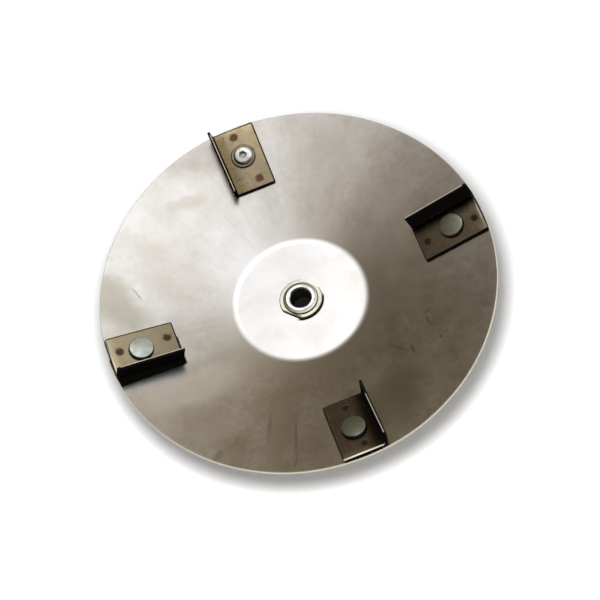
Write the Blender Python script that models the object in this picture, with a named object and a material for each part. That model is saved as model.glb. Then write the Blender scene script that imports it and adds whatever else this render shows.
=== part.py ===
"""Spinner disc of a spreader: a pressed steel cone on a bored hub, with four angle vanes bolted near its rim.

The hub's axis is Z, and the origin is on it, at the hub's lower end. Lengths are in metres.
"""

import math

import bmesh
import bpy
from mathutils import Matrix, Vector

MM = 0.001

# Disc, a sheet pressed into a shallow cone with a flat centre, which runs into the cone in a soft bend
DISC_DIAMETER = 300 * MM
DISC_SHEET = 2 * MM
CONE_SLOPE = math.radians(13.7)
FLAT_DIAMETER = 101 * MM
FLAT_BEND = 22 * MM

# Hub bush, turned from bar: bore, threaded shank, a collar with two wrench flats, and a bevelled neck
BORE_DIAMETER = 16 * MM
BORE_CHAMFER = 0.8 * MM
SHANK_WALL = 4 * MM
SHANK_CHAMFER = 1 * MM
SHANK_TAIL = 1.5 * MM
NECK_STEP = 1 * MM
NECK_HEIGHT = 1.9 * MM
NECK_BEVEL_RUN = 2 * MM
NECK_BEVEL_DROP = 0.6 * MM
TOP_RING_RISE = 0.4 * MM
COLLAR_STEP = 3.3 * MM
COLLAR_HEIGHT = 1.8 * MM
COLLAR_CHAMFER = 0.4 * MM
FLATS_STEP = 1 * MM
FLATS_TURN = math.radians(42)

# Washer and nut that clamp the disc against the hub's collar
HUB_WASHER_RIM = 10 * MM
HUB_WASHER_THICKNESS = 2 * MM
HUB_NUT_WALL = 6 * MM
HUB_NUT_HEIGHT = 6 * MM

# Vanes, bent from sheet, each on one bolt
VANES = 4
VANE_TO_RIM = 1 * MM
BOLT_TO_OUTER_END = 24.2 * MM
BOLT_TO_INNER_END = 28.4 * MM
HEAD_TO_FREE_EDGE = 6.9 * MM
HEAD_TO_BEND = 3.9 * MM
VANE_SHEET = 2 * MM
VANE_BEND = 1.5 * MM
VANE_FLARE = 1.7 * MM
VANE_CORNER = 1.5 * MM
FLANGE_HEIGHT = 16 * MM
FLANGE_LEAN = math.radians(5)
FLANGE_CORNER = 2 * MM
END_BEVEL_RUN = 1.6 * MM
END_BEVEL_DROP = 0.7 * MM
EDGE_ROUND = 0.4 * MM

# Spot weld dimples in a vane's base, placed by hand: in from its outer or inner end, and across from the bolt
SPOT_DIAMETER = 6 * MM
SPOT_DEPTH = 0.4 * MM
SPOT_LENS_OVERSIZE = 1.3
OUTER_SPOTS = ((6.7 * MM, -3 * MM), (7.2 * MM, 1.5 * MM), (8.2 * MM, -2.5 * MM), (8.7 * MM, 2.5 * MM))
INNER_SPOTS = ((6.9 * MM, -2 * MM), (7.4 * MM, -5.5 * MM), (6.9 * MM, -4 * MM), (7.9 * MM, 0 * MM))

# Vane fasteners: cup head bolts, and a flanged screw in place of one of them
BOLT_DIAMETER = 8 * MM
BOLT_TIP = 2 * MM
BOLT_TIP_CHAMFER = 1 * MM
SQUARE_NECK_STEP = 0.1 * MM
CUP_HEAD_RIM = 5.1 * MM
CUP_HEAD_HEIGHT = 3.2 * MM
CUP_HEAD_CROWN = 0.4 * MM
CUP_HEAD_ROUND = 0.8 * MM
SCREW_STATION = 2
SCREW_DOME_RIM = 2.8 * MM
SCREW_DOME_HEIGHT = 3 * MM
SCREW_DOME_CROWN = 0.4 * MM
SCREW_DOME_ROUND = 1.7 * MM
SCREW_FLANGE_RIM = 2.2 * MM
SCREW_FLANGE_HEIGHT = 1.3 * MM
SCREW_FLANGE_CHAMFER = 0.3 * MM
SCREW_SOCKET_FLATS = 5 * MM
SCREW_SOCKET_DEPTH = 2.6 * MM
WASHER_RIM = 4 * MM
WASHER_THICKNESS = 1.6 * MM
NUT_WALL = 2.5 * MM
NUT_HEX_HEIGHT = 6.5 * MM
NUT_COLLAR_STEP = 0.7 * MM
NUT_COLLAR_HEIGHT = 1.5 * MM
NUT_COLLAR_CHAMFER = 0.75 * MM
NUT_FACE_STEP = 0.3 * MM
NUT_CHAMFER = math.radians(30)

# Clearances: between faces that touch, round a piece in its hole, past a face that a cutter goes through
GAP = 0.3 * MM
SLACK = 0.3 * MM
PAST = 1 * MM
WELD = 0.001 * MM

# A chamfer or rounding takes at most this share of its wall
MOST_ROUNDING = 0.45

# Facets in a full turn or in one rounding, and the angles above which an edge is sharp or gets rounded
DISC_SIDES = 72
HUB_SIDES = 48
BOLT_SIDES = 24
SPOT_SIDES = 16
BEND_STEPS = 4
ROUND_STEPS = 3
EDGE_STEPS = 2
SHARP_ANGLE = math.radians(32)
EDGE_ANGLE = math.radians(50)

# Radii of the hub and its clamp
BORE_RADIUS = BORE_DIAMETER / 2
SHANK_RADIUS = BORE_RADIUS + SHANK_WALL
NECK_RADIUS = SHANK_RADIUS + NECK_STEP
COLLAR_RADIUS = NECK_RADIUS + COLLAR_STEP
HUB_HOLE_RADIUS = SHANK_RADIUS + SLACK
HUB_WASHER_RADIUS = SHANK_RADIUS + HUB_WASHER_RIM
HUB_NUT_FLATS = 2 * (SHANK_RADIUS + HUB_NUT_WALL)

# Radii of the vane fasteners
BOLT_RADIUS = BOLT_DIAMETER / 2
BOLT_HOLE_RADIUS = BOLT_RADIUS + SLACK
SQUARE_NECK_HALF = BOLT_RADIUS + SQUARE_NECK_STEP
CUP_HEAD_RADIUS = BOLT_RADIUS + CUP_HEAD_RIM
SCREW_DOME_RADIUS = BOLT_RADIUS + SCREW_DOME_RIM
SCREW_FLANGE_RADIUS = SCREW_DOME_RADIUS + SCREW_FLANGE_RIM
WASHER_RADIUS = BOLT_RADIUS + WASHER_RIM
NUT_FLATS = 2 * (BOLT_RADIUS + NUT_WALL)
NUT_COLLAR_RADIUS = NUT_FLATS / 2 - NUT_COLLAR_STEP
WIDEST_HEAD = max(CUP_HEAD_RADIUS, SCREW_FLANGE_RADIUS)

# Levels along the hub, from its lower end
HUB_NUT_TOP = SHANK_TAIL + HUB_NUT_HEIGHT
HUB_WASHER_TOP = HUB_NUT_TOP + GAP + HUB_WASHER_THICKNESS
FLOOR_TOP = HUB_WASHER_TOP + GAP + DISC_SHEET
COLLAR_BOTTOM = FLOOR_TOP + GAP
COLLAR_TOP = COLLAR_BOTTOM + COLLAR_HEIGHT
HUB_TOP = COLLAR_TOP + NECK_HEIGHT

# Plan of a vane, from its bolt
VANE_LENGTH = BOLT_TO_INNER_END + BOLT_TO_OUTER_END
BOLT_TO_FREE_EDGE = WIDEST_HEAD + HEAD_TO_FREE_EDGE
BOLT_TO_FLANGE = WIDEST_HEAD + HEAD_TO_BEND + VANE_BEND

# Where the bolts stand on the cone
RIM_RADIUS = DISC_DIAMETER / 2 - DISC_SHEET * math.sin(CONE_SLOPE)
BOLT_CIRCLE_RADIUS = RIM_RADIUS - VANE_TO_RIM - BOLT_TO_OUTER_END * math.cos(CONE_SLOPE)


def cone_height(radius):
    """Height of the cone's upper face at this radius."""
    return FLOOR_TOP + (radius - FLAT_DIAMETER / 2) * math.tan(CONE_SLOPE)


def seat_lift():
    """How far a flat base stands off the cone at the bolt, because its sides meet the curved sheet first."""
    half_width = max(BOLT_TO_FREE_EDGE, BOLT_TO_FLANGE + VANE_FLARE + VANE_SHEET)
    inner_radius = BOLT_CIRCLE_RADIUS - BOLT_TO_INNER_END * math.cos(CONE_SLOPE)
    return GAP + half_width**2 * math.sin(CONE_SLOPE) / (2 * inner_radius)


# Levels along a vane's bolt, from the cone's upper face
BASE_BOTTOM = seat_lift()
BASE_TOP = BASE_BOTTOM + VANE_SHEET
HEAD_BOTTOM = BASE_TOP + GAP
SQUARE_NECK_END = -DISC_SHEET / 2
WASHER_TOP = -DISC_SHEET - GAP
NUT_TOP = WASHER_TOP - WASHER_THICKNESS - GAP
NUT_HEX_BOTTOM = NUT_TOP - NUT_HEX_HEIGHT
NUT_BOTTOM = NUT_HEX_BOTTOM - NUT_COLLAR_HEIGHT
BOLT_END = NUT_BOTTOM - BOLT_TIP


def limited(rounding, wall):
    """A chamfer or rounding that its wall has room for."""
    return min(rounding, MOST_ROUNDING * wall)


def metal(name, colour, roughness):
    """A bare or plated metal finish."""
    finish = bpy.data.materials.new(name)
    finish.use_nodes = True
    shader = finish.node_tree.nodes["Principled BSDF"]
    shader.inputs["Base Color"].default_value = (*colour, 1.0)
    shader.inputs["Roughness"].default_value = roughness
    shader.inputs["Metallic"].default_value = 1.0
    return finish


def place(name, bm, finish=None, parent=None):
    """Turns a bmesh into a named object with its finish, shaded smooth except at its edges."""
    bmesh.ops.recalc_face_normals(bm, faces=bm.faces)
    mesh = bpy.data.meshes.new(name)
    bm.to_mesh(mesh)
    bm.free()
    mesh.shade_smooth()
    mesh.set_sharp_from_angle(angle=SHARP_ANGLE)
    if finish:
        mesh.materials.append(finish)
    obj = bpy.data.objects.new(name, mesh)
    bpy.context.scene.collection.objects.link(obj)
    obj.parent = parent
    return obj


def combine(target, tool, operation):
    """Cuts, joins or intersects the target with a helper, which is then hidden."""
    tool.hide_render = True
    tool.display_type = "WIRE"
    modifier = target.modifiers.new(tool.name, "BOOLEAN")
    modifier.operation = operation
    modifier.solver = "EXACT"
    modifier.object = tool


def weld(obj):
    """Joins points that cuts leave on top of each other."""
    modifier = obj.modifiers.new("weld", "WELD")
    modifier.merge_threshold = WELD


def turned(outline, sides, ring):
    """Revolves (radius, height) points round Z. A ring's outline is a loop, a solid's ends on the axis."""
    bm = bmesh.new()
    points = [bm.verts.new((radius, 0, height)) for radius, height in outline]
    edges = [bm.edges.new(pair) for pair in zip(points, points[1:])]
    if ring:
        edges.append(bm.edges.new((points[-1], points[0])))
    bmesh.ops.spin(bm, geom=points + edges, axis=(0, 0, 1), angle=math.tau, steps=sides, use_merge=True)
    bmesh.ops.remove_doubles(bm, verts=bm.verts, dist=WELD)
    return bm


def box(low, high):
    """A block between two corners."""
    bm = bmesh.new()
    low, high = Vector(low), Vector(high)
    bmesh.ops.create_cube(bm, size=1)
    bmesh.ops.scale(bm, vec=high - low, verts=bm.verts)
    bmesh.ops.translate(bm, vec=(low + high) / 2, verts=bm.verts)
    return bm


def hexagon(flats, bottom, top):
    """A six-sided bar along Z, measured across its flats."""
    bm = bmesh.new()
    radius = flats / math.sqrt(3)
    middle = Matrix.Translation((0, 0, (bottom + top) / 2))
    bmesh.ops.create_cone(
        bm, cap_ends=True, segments=6, radius1=radius, radius2=radius, depth=top - bottom, matrix=middle
    )
    return bm


def arc(centre, radius, start, sweep, steps):
    """Points along a circular arc, both ends included."""
    angles = [start + sweep * step / steps for step in range(steps + 1)]
    return [centre + radius * Vector((math.cos(angle), math.sin(angle))) for angle in angles]


def sheet_section(corners, bends, thickness):
    """Closed outline of a bent sheet, whose upper face follows the corners. Bends are inside radii."""
    upper, lower = [], []

    def add(point, normal):
        upper.append(point)
        lower.append(point - normal * thickness)

    def left_of(direction):
        return Vector((-direction.y, direction.x))

    corners = [Vector(corner) for corner in corners]
    add(corners[0], left_of((corners[1] - corners[0]).normalized()))
    for before, corner, after, inside in zip(corners, corners[1:], corners[2:], bends):
        arriving = (corner - before).normalized()
        leaving = (after - corner).normalized()
        turn = math.atan2(arriving.cross(leaving), arriving.dot(leaving))
        side = math.copysign(1, turn)
        radius = inside if side > 0 else inside + thickness
        start = corner - arriving * radius * math.tan(abs(turn) / 2)
        centre = start + left_of(arriving) * radius * side
        first = start - centre
        for point in arc(centre, radius, math.atan2(first.y, first.x), turn, BEND_STEPS):
            add(point, (centre - point).normalized() * side)
    add(corners[-1], left_of((corners[-1] - corners[-2]).normalized()))
    return upper + lower[::-1]


def washer_outline(hole, outside, top, thickness):
    """Section of a flat washer."""
    return [(hole, top), (outside, top), (outside, top - thickness), (hole, top - thickness)]


def nut_outline(hole, flats, top, bottom):
    """Section of a nut's blank with its corners cut back, wider than the hexagon that then trims it."""
    face = flats / 2 - NUT_FACE_STEP
    outside = flats / math.sqrt(3) + PAST
    drop = (outside - face) * math.tan(NUT_CHAMFER)
    return [(hole, top), (face, top), (outside, top - drop), (outside, bottom + drop), (face, bottom)]


def make_stations():
    """An empty on each vane bolt: X along the cone, outwards, Y round the disc, Z square to the sheet."""
    stations = []
    for index in range(VANES):
        station = bpy.data.objects.new(f"station_{index + 1}", None)
        bpy.context.scene.collection.objects.link(station)
        turn = Matrix.Rotation(index * math.tau / VANES, 4, "Z")
        seat = Matrix.Translation((BOLT_CIRCLE_RADIUS, 0, cone_height(BOLT_CIRCLE_RADIUS)))
        tilt = Matrix.Rotation(-CONE_SLOPE, 4, "Y")
        station.matrix_world = turn @ seat @ tilt
        stations.append(station)
    return stations


def square_hole(name, target, bottom, top, station):
    """Cuts the square hole that a cup head bolt's neck sits in."""
    half = SQUARE_NECK_HALF + SLACK
    tool = place(name, box((-half, -half, bottom - PAST), (half, half, top + PAST)), parent=station)
    combine(target, tool, "DIFFERENCE")


def make_disc(finish, stations):
    """The pressed cone with its flat centre, pierced for the hub and for the vane bolts."""
    crease = (FLAT_DIAMETER / 2, FLOOR_TOP)
    corners = [(HUB_HOLE_RADIUS, FLOOR_TOP), crease, (RIM_RADIUS, cone_height(RIM_RADIUS))]
    section = sheet_section(corners, [FLAT_BEND], DISC_SHEET)
    disc = place("disc", turned(section, DISC_SIDES, ring=True), finish)
    for index, station in enumerate(stations):
        square_hole(f"disc_hole_{index + 1}", disc, -DISC_SHEET, 0, station)


def make_hub(finish):
    """The bush: threaded shank below the disc, collar on its flat with two wrench flats, bevelled neck."""
    bore_chamfer = limited(BORE_CHAMFER, SHANK_WALL)
    shank_chamfer = limited(SHANK_CHAMFER, SHANK_WALL)
    ring_radius = NECK_RADIUS - limited(NECK_BEVEL_RUN, NECK_RADIUS - BORE_RADIUS)
    ring_foot = HUB_TOP - limited(TOP_RING_RISE, NECK_HEIGHT / 2)
    shoulder = ring_foot - limited(NECK_BEVEL_DROP, NECK_HEIGHT)
    collar_chamfer = limited(COLLAR_CHAMFER, min(COLLAR_STEP, COLLAR_HEIGHT))
    outline = [
        (BORE_RADIUS, HUB_TOP - bore_chamfer),
        (BORE_RADIUS + bore_chamfer, HUB_TOP),
        (ring_radius, HUB_TOP),
        (ring_radius, ring_foot),
        (NECK_RADIUS, shoulder),
        (NECK_RADIUS, COLLAR_TOP),
        (COLLAR_RADIUS - collar_chamfer, COLLAR_TOP),
        (COLLAR_RADIUS, COLLAR_TOP - collar_chamfer),
        (COLLAR_RADIUS, COLLAR_BOTTOM),
        (SHANK_RADIUS, COLLAR_BOTTOM),
        (SHANK_RADIUS, shank_chamfer),
        (SHANK_RADIUS - shank_chamfer, 0),
        (BORE_RADIUS + bore_chamfer, 0),
        (BORE_RADIUS, bore_chamfer),
    ]
    hub = place("hub_bush", turned(outline, HUB_SIDES, ring=True), finish)
    for side in (0, 1):
        low = (NECK_RADIUS + FLATS_STEP, -COLLAR_RADIUS, COLLAR_BOTTOM - PAST)
        high = (COLLAR_RADIUS + PAST, COLLAR_RADIUS, COLLAR_TOP + PAST)
        tool = place(f"wrench_flat_{side + 1}", box(low, high))
        tool.rotation_euler.z = FLATS_TURN + side * math.pi
        combine(hub, tool, "DIFFERENCE")


def make_hub_clamp(finish):
    """Flat washer and thin hex nut on the shank, under the disc."""
    washer = washer_outline(HUB_HOLE_RADIUS, HUB_WASHER_RADIUS, HUB_WASHER_TOP, HUB_WASHER_THICKNESS)
    place("hub_washer", turned(washer, HUB_SIDES, ring=True), finish)
    blank = nut_outline(HUB_HOLE_RADIUS, HUB_NUT_FLATS, HUB_NUT_TOP, SHANK_TAIL)
    nut = place("hub_nut", turned([*blank, (HUB_HOLE_RADIUS, SHANK_TAIL)], HUB_SIDES, ring=True), finish)
    bar = hexagon(HUB_NUT_FLATS, SHANK_TAIL - PAST, HUB_NUT_TOP + PAST)
    combine(nut, place("hub_nut_flats", bar), "INTERSECT")


def vane_section(along):
    """Section across a vane at this place along it. The base widens outwards, so the flange splays."""
    fold = BOLT_TO_FLANGE + VANE_FLARE * (along + BOLT_TO_INNER_END) / VANE_LENGTH
    rise = FLANGE_HEIGHT - VANE_SHEET
    flange_top = (fold + rise * math.tan(FLANGE_LEAN), BASE_TOP + rise)
    corners = [(-BOLT_TO_FREE_EDGE, BASE_TOP), (fold, BASE_TOP), flange_top]
    return sheet_section(corners, [VANE_BEND], VANE_SHEET)


def edge_between(first, second):
    """The edge that joins two vertices."""
    return next(edge for edge in first.link_edges if second in edge.verts)


def vane_body():
    """A bent angle with its outer end bevelled and its corners rounded."""
    bm = bmesh.new()
    rows = []
    for along in (-BOLT_TO_INNER_END, BOLT_TO_OUTER_END - END_BEVEL_RUN, BOLT_TO_OUTER_END):
        rows.append([bm.verts.new((along, across, height)) for across, height in vane_section(along)])
    for near, far in zip(rows, rows[1:]):
        for i in range(len(near)):
            bm.faces.new((near[i - 1], near[i], far[i], far[i - 1]))
    ends = (rows[0], rows[-1])
    for row in ends:
        bm.faces.new(row)
    for vertex in rows[-1][:2]:
        vertex.co.z -= limited(END_BEVEL_DROP, VANE_SHEET)
    top = len(rows[0]) // 2
    free_corners = [edge_between(row[0], row[-1]) for row in ends]
    flange_corners = [edge_between(row[top - 1], row[top]) for row in ends]
    for corners, radius in ((free_corners, VANE_CORNER), (flange_corners, FLANGE_CORNER)):
        bmesh.ops.bevel(bm, geom=corners, offset=radius, segments=ROUND_STEPS, profile=0.5, affect="EDGES")
    return bm


def spot_lens():
    """Lens that presses a shallow round dimple into a face at height 0, and stands clear above it."""
    half = SPOT_DIAMETER / 2
    depth = limited(SPOT_DEPTH, VANE_SHEET)
    radius = (half**2 + depth**2) / (2 * depth)
    opening = SPOT_LENS_OVERSIZE * math.asin(half / radius)
    bowl = arc(Vector((0, radius - depth)), radius, opening - math.pi / 2, -opening, EDGE_STEPS)
    return turned([(0, bowl[0].y), *bowl], SPOT_SIDES, ring=False)


def make_vane(number, finish, station):
    """Base on the disc, with its bolt hole and two spot weld dimples, and an upright flange."""
    vane = place(f"vane_{number}", vane_body(), finish, station)
    rounding = vane.modifiers.new("edge_round", "BEVEL")
    rounding.width = EDGE_ROUND
    rounding.segments = EDGE_STEPS
    rounding.limit_method = "ANGLE"
    rounding.angle_limit = EDGE_ANGLE
    square_hole(f"vane_hole_{number}", vane, BASE_BOTTOM, BASE_TOP, station)
    outer_inset, outer_across = OUTER_SPOTS[(number - 1) % len(OUTER_SPOTS)]
    inner_inset, inner_across = INNER_SPOTS[(number - 1) % len(INNER_SPOTS)]
    outer_place = (BOLT_TO_OUTER_END - outer_inset, outer_across, BASE_TOP)
    inner_place = (inner_inset - BOLT_TO_INNER_END, inner_across, BASE_TOP)
    for index, spot in enumerate((outer_place, inner_place)):
        tool = place(f"vane_{number}_spot_{index + 1}", spot_lens(), parent=station)
        tool.location = spot
        combine(vane, tool, "DIFFERENCE")


def shank_outline():
    """The lower run of a bolt's outline, from under its head to its chamfered end."""
    chamfer = limited(BOLT_TIP_CHAMFER, BOLT_RADIUS)
    return [
        (BOLT_RADIUS, HEAD_BOTTOM),
        (BOLT_RADIUS, BOLT_END + chamfer),
        (BOLT_RADIUS - chamfer, BOLT_END),
        (0, BOLT_END),
    ]


def make_cup_head_bolt(number, finish, station):
    """A low crowned round head on a square neck that keeps the bolt from turning."""
    top = HEAD_BOTTOM + CUP_HEAD_HEIGHT
    shoulder = top - limited(CUP_HEAD_CROWN, CUP_HEAD_HEIGHT)
    rounding = limited(CUP_HEAD_ROUND, CUP_HEAD_HEIGHT)
    centre = Vector((CUP_HEAD_RADIUS - rounding, shoulder - rounding))
    edge = arc(centre, rounding, math.pi / 2, -math.pi / 2, ROUND_STEPS)
    halfway = (CUP_HEAD_RADIUS / 2, top - (top - shoulder) / 4)
    outline = [(0, top), halfway, *edge, (CUP_HEAD_RADIUS, HEAD_BOTTOM), *shank_outline()]
    bolt = place(f"cup_head_bolt_{number}", turned(outline, BOLT_SIDES, ring=False), finish, station)
    half = SQUARE_NECK_HALF
    neck = box((-half, -half, SQUARE_NECK_END), (half, half, (HEAD_BOTTOM + shoulder) / 2))
    combine(bolt, place(f"square_neck_{number}", neck, parent=station), "UNION")


def make_button_head_screw(number, finish, station):
    """A low domed head with a thin flange and a hex socket."""
    flange_top = HEAD_BOTTOM + SCREW_FLANGE_HEIGHT
    top = flange_top + SCREW_DOME_HEIGHT
    rounding = limited(SCREW_DOME_ROUND, SCREW_DOME_RADIUS)
    side = SCREW_DOME_HEIGHT - limited(SCREW_DOME_CROWN, SCREW_DOME_HEIGHT)
    dome = []
    for point in arc(Vector((0, 0)), 1, math.pi / 2, -math.pi / 2, BEND_STEPS):
        dome.append((SCREW_DOME_RADIUS - rounding * (1 - point.x), flange_top + side * point.y))
    chamfer = limited(SCREW_FLANGE_CHAMFER, SCREW_FLANGE_HEIGHT)
    rim = [
        (SCREW_FLANGE_RADIUS - chamfer, flange_top),
        (SCREW_FLANGE_RADIUS, flange_top - chamfer),
        (SCREW_FLANGE_RADIUS, HEAD_BOTTOM),
    ]
    outline = [(0, top), *dome, *rim, *shank_outline()]
    screw = place(f"button_head_screw_{number}", turned(outline, BOLT_SIDES, ring=False), finish, station)
    socket = hexagon(SCREW_SOCKET_FLATS, top - SCREW_SOCKET_DEPTH, top + PAST)
    combine(screw, place(f"screw_socket_{number}", socket, parent=station), "DIFFERENCE")


def make_vane_clamp(number, finish, station):
    """Flat washer and lock nut under the disc. The nut's round collar holds its locking ring."""
    washer = washer_outline(BOLT_HOLE_RADIUS, WASHER_RADIUS, WASHER_TOP, WASHER_THICKNESS)
    place(f"vane_washer_{number}", turned(washer, BOLT_SIDES, ring=True), finish, station)
    chamfer = limited(NUT_COLLAR_CHAMFER, min(NUT_COLLAR_HEIGHT, NUT_COLLAR_RADIUS - BOLT_HOLE_RADIUS))
    collar = [
        (NUT_COLLAR_RADIUS, NUT_HEX_BOTTOM),
        (NUT_COLLAR_RADIUS, NUT_BOTTOM + chamfer),
        (NUT_COLLAR_RADIUS - chamfer, NUT_BOTTOM),
        (BOLT_HOLE_RADIUS, NUT_BOTTOM),
    ]
    outline = [*nut_outline(BOLT_HOLE_RADIUS, NUT_FLATS, NUT_TOP, NUT_HEX_BOTTOM), *collar]
    nut = place(f"vane_lock_nut_{number}", turned(outline, BOLT_SIDES, ring=True), finish, station)
    bar = hexagon(NUT_FLATS, NUT_BOTTOM - PAST, NUT_TOP + PAST)
    combine(nut, place(f"nut_flats_{number}", bar, parent=station), "INTERSECT")


def main():
    for obj in list(bpy.data.objects):
        bpy.data.objects.remove(obj)
    rolled_steel = metal("rolled_steel", (0.48, 0.45, 0.41), 0.34)
    tinted_steel = metal("heat_tinted_steel", (0.30, 0.25, 0.20), 0.38)
    turned_steel = metal("turned_steel", (0.62, 0.61, 0.58), 0.25)
    zinc = metal("zinc_plate", (0.60, 0.63, 0.59), 0.36)
    stations = make_stations()
    make_disc(rolled_steel, stations)
    make_hub(turned_steel)
    make_hub_clamp(zinc)
    for number, station in enumerate(stations, start=1):
        make_vane(number, tinted_steel, station)
        make_head = make_button_head_screw if number == SCREW_STATION else make_cup_head_bolt
        make_head(number, zinc, station)
        make_vane_clamp(number, zinc, station)
    for obj in bpy.context.scene.objects:
        if obj.type == "MESH" and not obj.hide_render:
            weld(obj)


main()
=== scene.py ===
# %% [markdown]
# # A spinner disc with four vanes
#
# The object is a thrower disc from a spreader: a shallow steel cone with a flat centre, a turned hub
# through its middle, and four bent vanes bolted at the rim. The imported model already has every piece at
# its real size. This lesson gives each piece a finer mesh and a finish of its own, and then sets up a
# camera and lights that show them as a studio photograph would.

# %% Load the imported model
import math

import bmesh
import bpy
from mathutils import Matrix, Vector


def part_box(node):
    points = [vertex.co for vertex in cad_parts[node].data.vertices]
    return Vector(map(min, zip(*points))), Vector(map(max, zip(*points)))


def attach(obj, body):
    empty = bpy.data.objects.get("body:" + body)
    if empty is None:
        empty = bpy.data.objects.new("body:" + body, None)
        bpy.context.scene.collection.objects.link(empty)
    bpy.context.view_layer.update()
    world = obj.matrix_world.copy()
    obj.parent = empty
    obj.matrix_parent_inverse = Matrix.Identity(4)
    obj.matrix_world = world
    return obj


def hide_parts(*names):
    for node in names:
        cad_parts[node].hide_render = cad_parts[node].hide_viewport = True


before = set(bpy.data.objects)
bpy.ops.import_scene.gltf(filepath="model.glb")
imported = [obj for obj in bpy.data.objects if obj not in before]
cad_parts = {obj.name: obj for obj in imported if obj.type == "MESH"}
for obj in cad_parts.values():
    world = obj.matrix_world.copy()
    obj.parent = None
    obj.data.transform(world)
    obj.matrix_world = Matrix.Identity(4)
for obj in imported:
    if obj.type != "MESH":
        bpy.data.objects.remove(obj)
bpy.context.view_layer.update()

# %% [markdown]
# ## Measures
#
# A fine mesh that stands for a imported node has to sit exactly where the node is. So the levels and
# radii that the boxes of the nodes can tell are read from them, and only what a box can't tell, such as
# the sheet's thickness or the slope of the cone, is written down here in millimetres.

# %% Levels and radii from the frame
MM = 0.001
# Distance at which points are joined, gap between neighbouring pieces, and reach of a cutter past a face
WELD = 0.001 * MM
GAP = 0.3 * MM
PAST = 1 * MM

disc_low, disc_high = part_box("disc")
hub_low, hub_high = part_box("hub_bush")
washer_low, washer_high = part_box("hub_washer")
nut_low, nut_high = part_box("hub_nut")

DISC_RADIUS = (disc_high.x - disc_low.x) / 2
COLLAR_RADIUS = (hub_high.x - hub_low.x) / 2
HUB_WASHER_RADIUS = (washer_high.x - washer_low.x) / 2
HUB_TOP = hub_high.z
FLOOR_LEVEL = hub_low.z
print(f"disc radius {DISC_RADIUS:.4f} m, collar radius {COLLAR_RADIUS:.4f} m, hub top {HUB_TOP:.4f} m")

# %% The sheet of the disc
SHEET = 2 * MM
SLOPE = math.radians(13.7)
FLAT_RADIUS = 50.5 * MM
FLAT_TOP = washer_high.z + GAP + SHEET
RIM_RADIUS = DISC_RADIUS - SHEET * math.sin(SLOPE)
RIM_TOP = FLAT_TOP + (RIM_RADIUS - FLAT_RADIUS) * math.tan(SLOPE)
print(f"flat centre at {FLAT_TOP:.4f} m, rim at {RIM_TOP:.4f} m")

# %% Where the four vane bolts stand
VANES = 4
BOLT_WASHER = 1.6 * MM


def bolt_station(number):
    """Matrix of a vane bolt: X outwards along the cone, Y round the disc, Z square to the sheet."""
    low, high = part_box(f"vane_washer_{number}")
    turn = Matrix.Rotation((number - 1) * math.tau / VANES, 4, "Z")
    tilt = turn @ Matrix.Rotation(-SLOPE, 4, "Y")
    above = tilt @ Vector((0, 0, SHEET + GAP + BOLT_WASHER / 2))
    return Matrix.Translation((low + high) / 2 + above) @ tilt


stations = {number: bolt_station(number) for number in range(1, VANES + 1)}
for number, station in stations.items():
    print("bolt", number, "stands at", [round(x, 4) for x in station.translation])

# %% [markdown]
# ## Camera
#
# The photograph looks down at the disc from about 61 degrees, with a long lens and the frame turned a
# little. The ellipses of the rim, the flat centre and the bore and the four bolt heads fix the view:
# these are the angles, distance and lens at which all of them land on the same pixels.

# %% Set up the camera
PHOTO_WIDTH = 600
FOCAL_PIXELS = 2171.2
VIEW_ELEVATION = math.radians(61.303)
VIEW_AZIMUTH = math.radians(-2.141)
VIEW_ROLL = math.radians(-19.793)
VIEW_DISTANCE = 1.6139
AIM_ABOVE_FLAT = 23.4 * MM
OFFSET_RIGHT_PIXELS = -3.865
OFFSET_DOWN_PIXELS = -14.251
SENSOR_WIDTH = 36

back = Vector(
    (
        math.sin(VIEW_AZIMUTH) * math.cos(VIEW_ELEVATION),
        -math.cos(VIEW_AZIMUTH) * math.cos(VIEW_ELEVATION),
        math.sin(VIEW_ELEVATION),
    )
)
level = Vector((math.cos(VIEW_AZIMUTH), math.sin(VIEW_AZIMUTH), 0))
steep = back.cross(level)
camera_right = math.cos(VIEW_ROLL) * level + math.sin(VIEW_ROLL) * steep
camera_up = -math.sin(VIEW_ROLL) * level + math.cos(VIEW_ROLL) * steep

camera_data = bpy.data.cameras.new("photo_camera")
camera_data.sensor_width = SENSOR_WIDTH
camera_data.lens = SENSOR_WIDTH * FOCAL_PIXELS / PHOTO_WIDTH
camera_data.shift_x = -OFFSET_RIGHT_PIXELS / PHOTO_WIDTH
camera_data.shift_y = OFFSET_DOWN_PIXELS / PHOTO_WIDTH
camera = bpy.data.objects.new("photo_camera", camera_data)
aim = Vector((0, 0, FLAT_TOP + AIM_ABOVE_FLAT))
turned_to_aim = Matrix((camera_right, camera_up, back)).transposed().to_4x4()
camera.matrix_world = Matrix.Translation(aim + back * VIEW_DISTANCE) @ turned_to_aim
bpy.context.scene.collection.objects.link(camera)
bpy.context.scene.camera = camera
bpy.context.scene.view_settings.view_transform = "Standard"
print(f"camera lens {camera_data.lens:.1f} mm, at", [round(x, 3) for x in camera.location])

# %% [markdown]
# ## Small tools for shader nodes
#
# A finish is a tree of nodes. Writing it node by node is long, so small helpers do the routine part. `put`
# adds one node and fills or links its inputs, and `follow` does so in the tree that the inputs come from.
# `calculate` and `vector` do sums, `ramp` and `band` turn a value into a soft mask, and `tint` lays one
# colour over another through a mask.

# %% Nodes for sums


def put(tree, kind, inputs, **settings):
    """Adds a node, with its settings, and fills or links each named input."""
    node = tree.nodes.new(kind)
    for name, value in settings.items():
        setattr(node, name, value)
    for name, value in inputs.items():
        if isinstance(value, bpy.types.NodeSocket):
            tree.links.new(value, node.inputs[name])
        else:
            node.inputs[name].default_value = value
    return node


def follow(kind, inputs, **settings):
    """Adds a node to the tree that its inputs come from."""
    tree = next(value.id_data for value in inputs.values() if isinstance(value, bpy.types.NodeSocket))
    return put(tree, kind, inputs, **settings)


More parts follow.
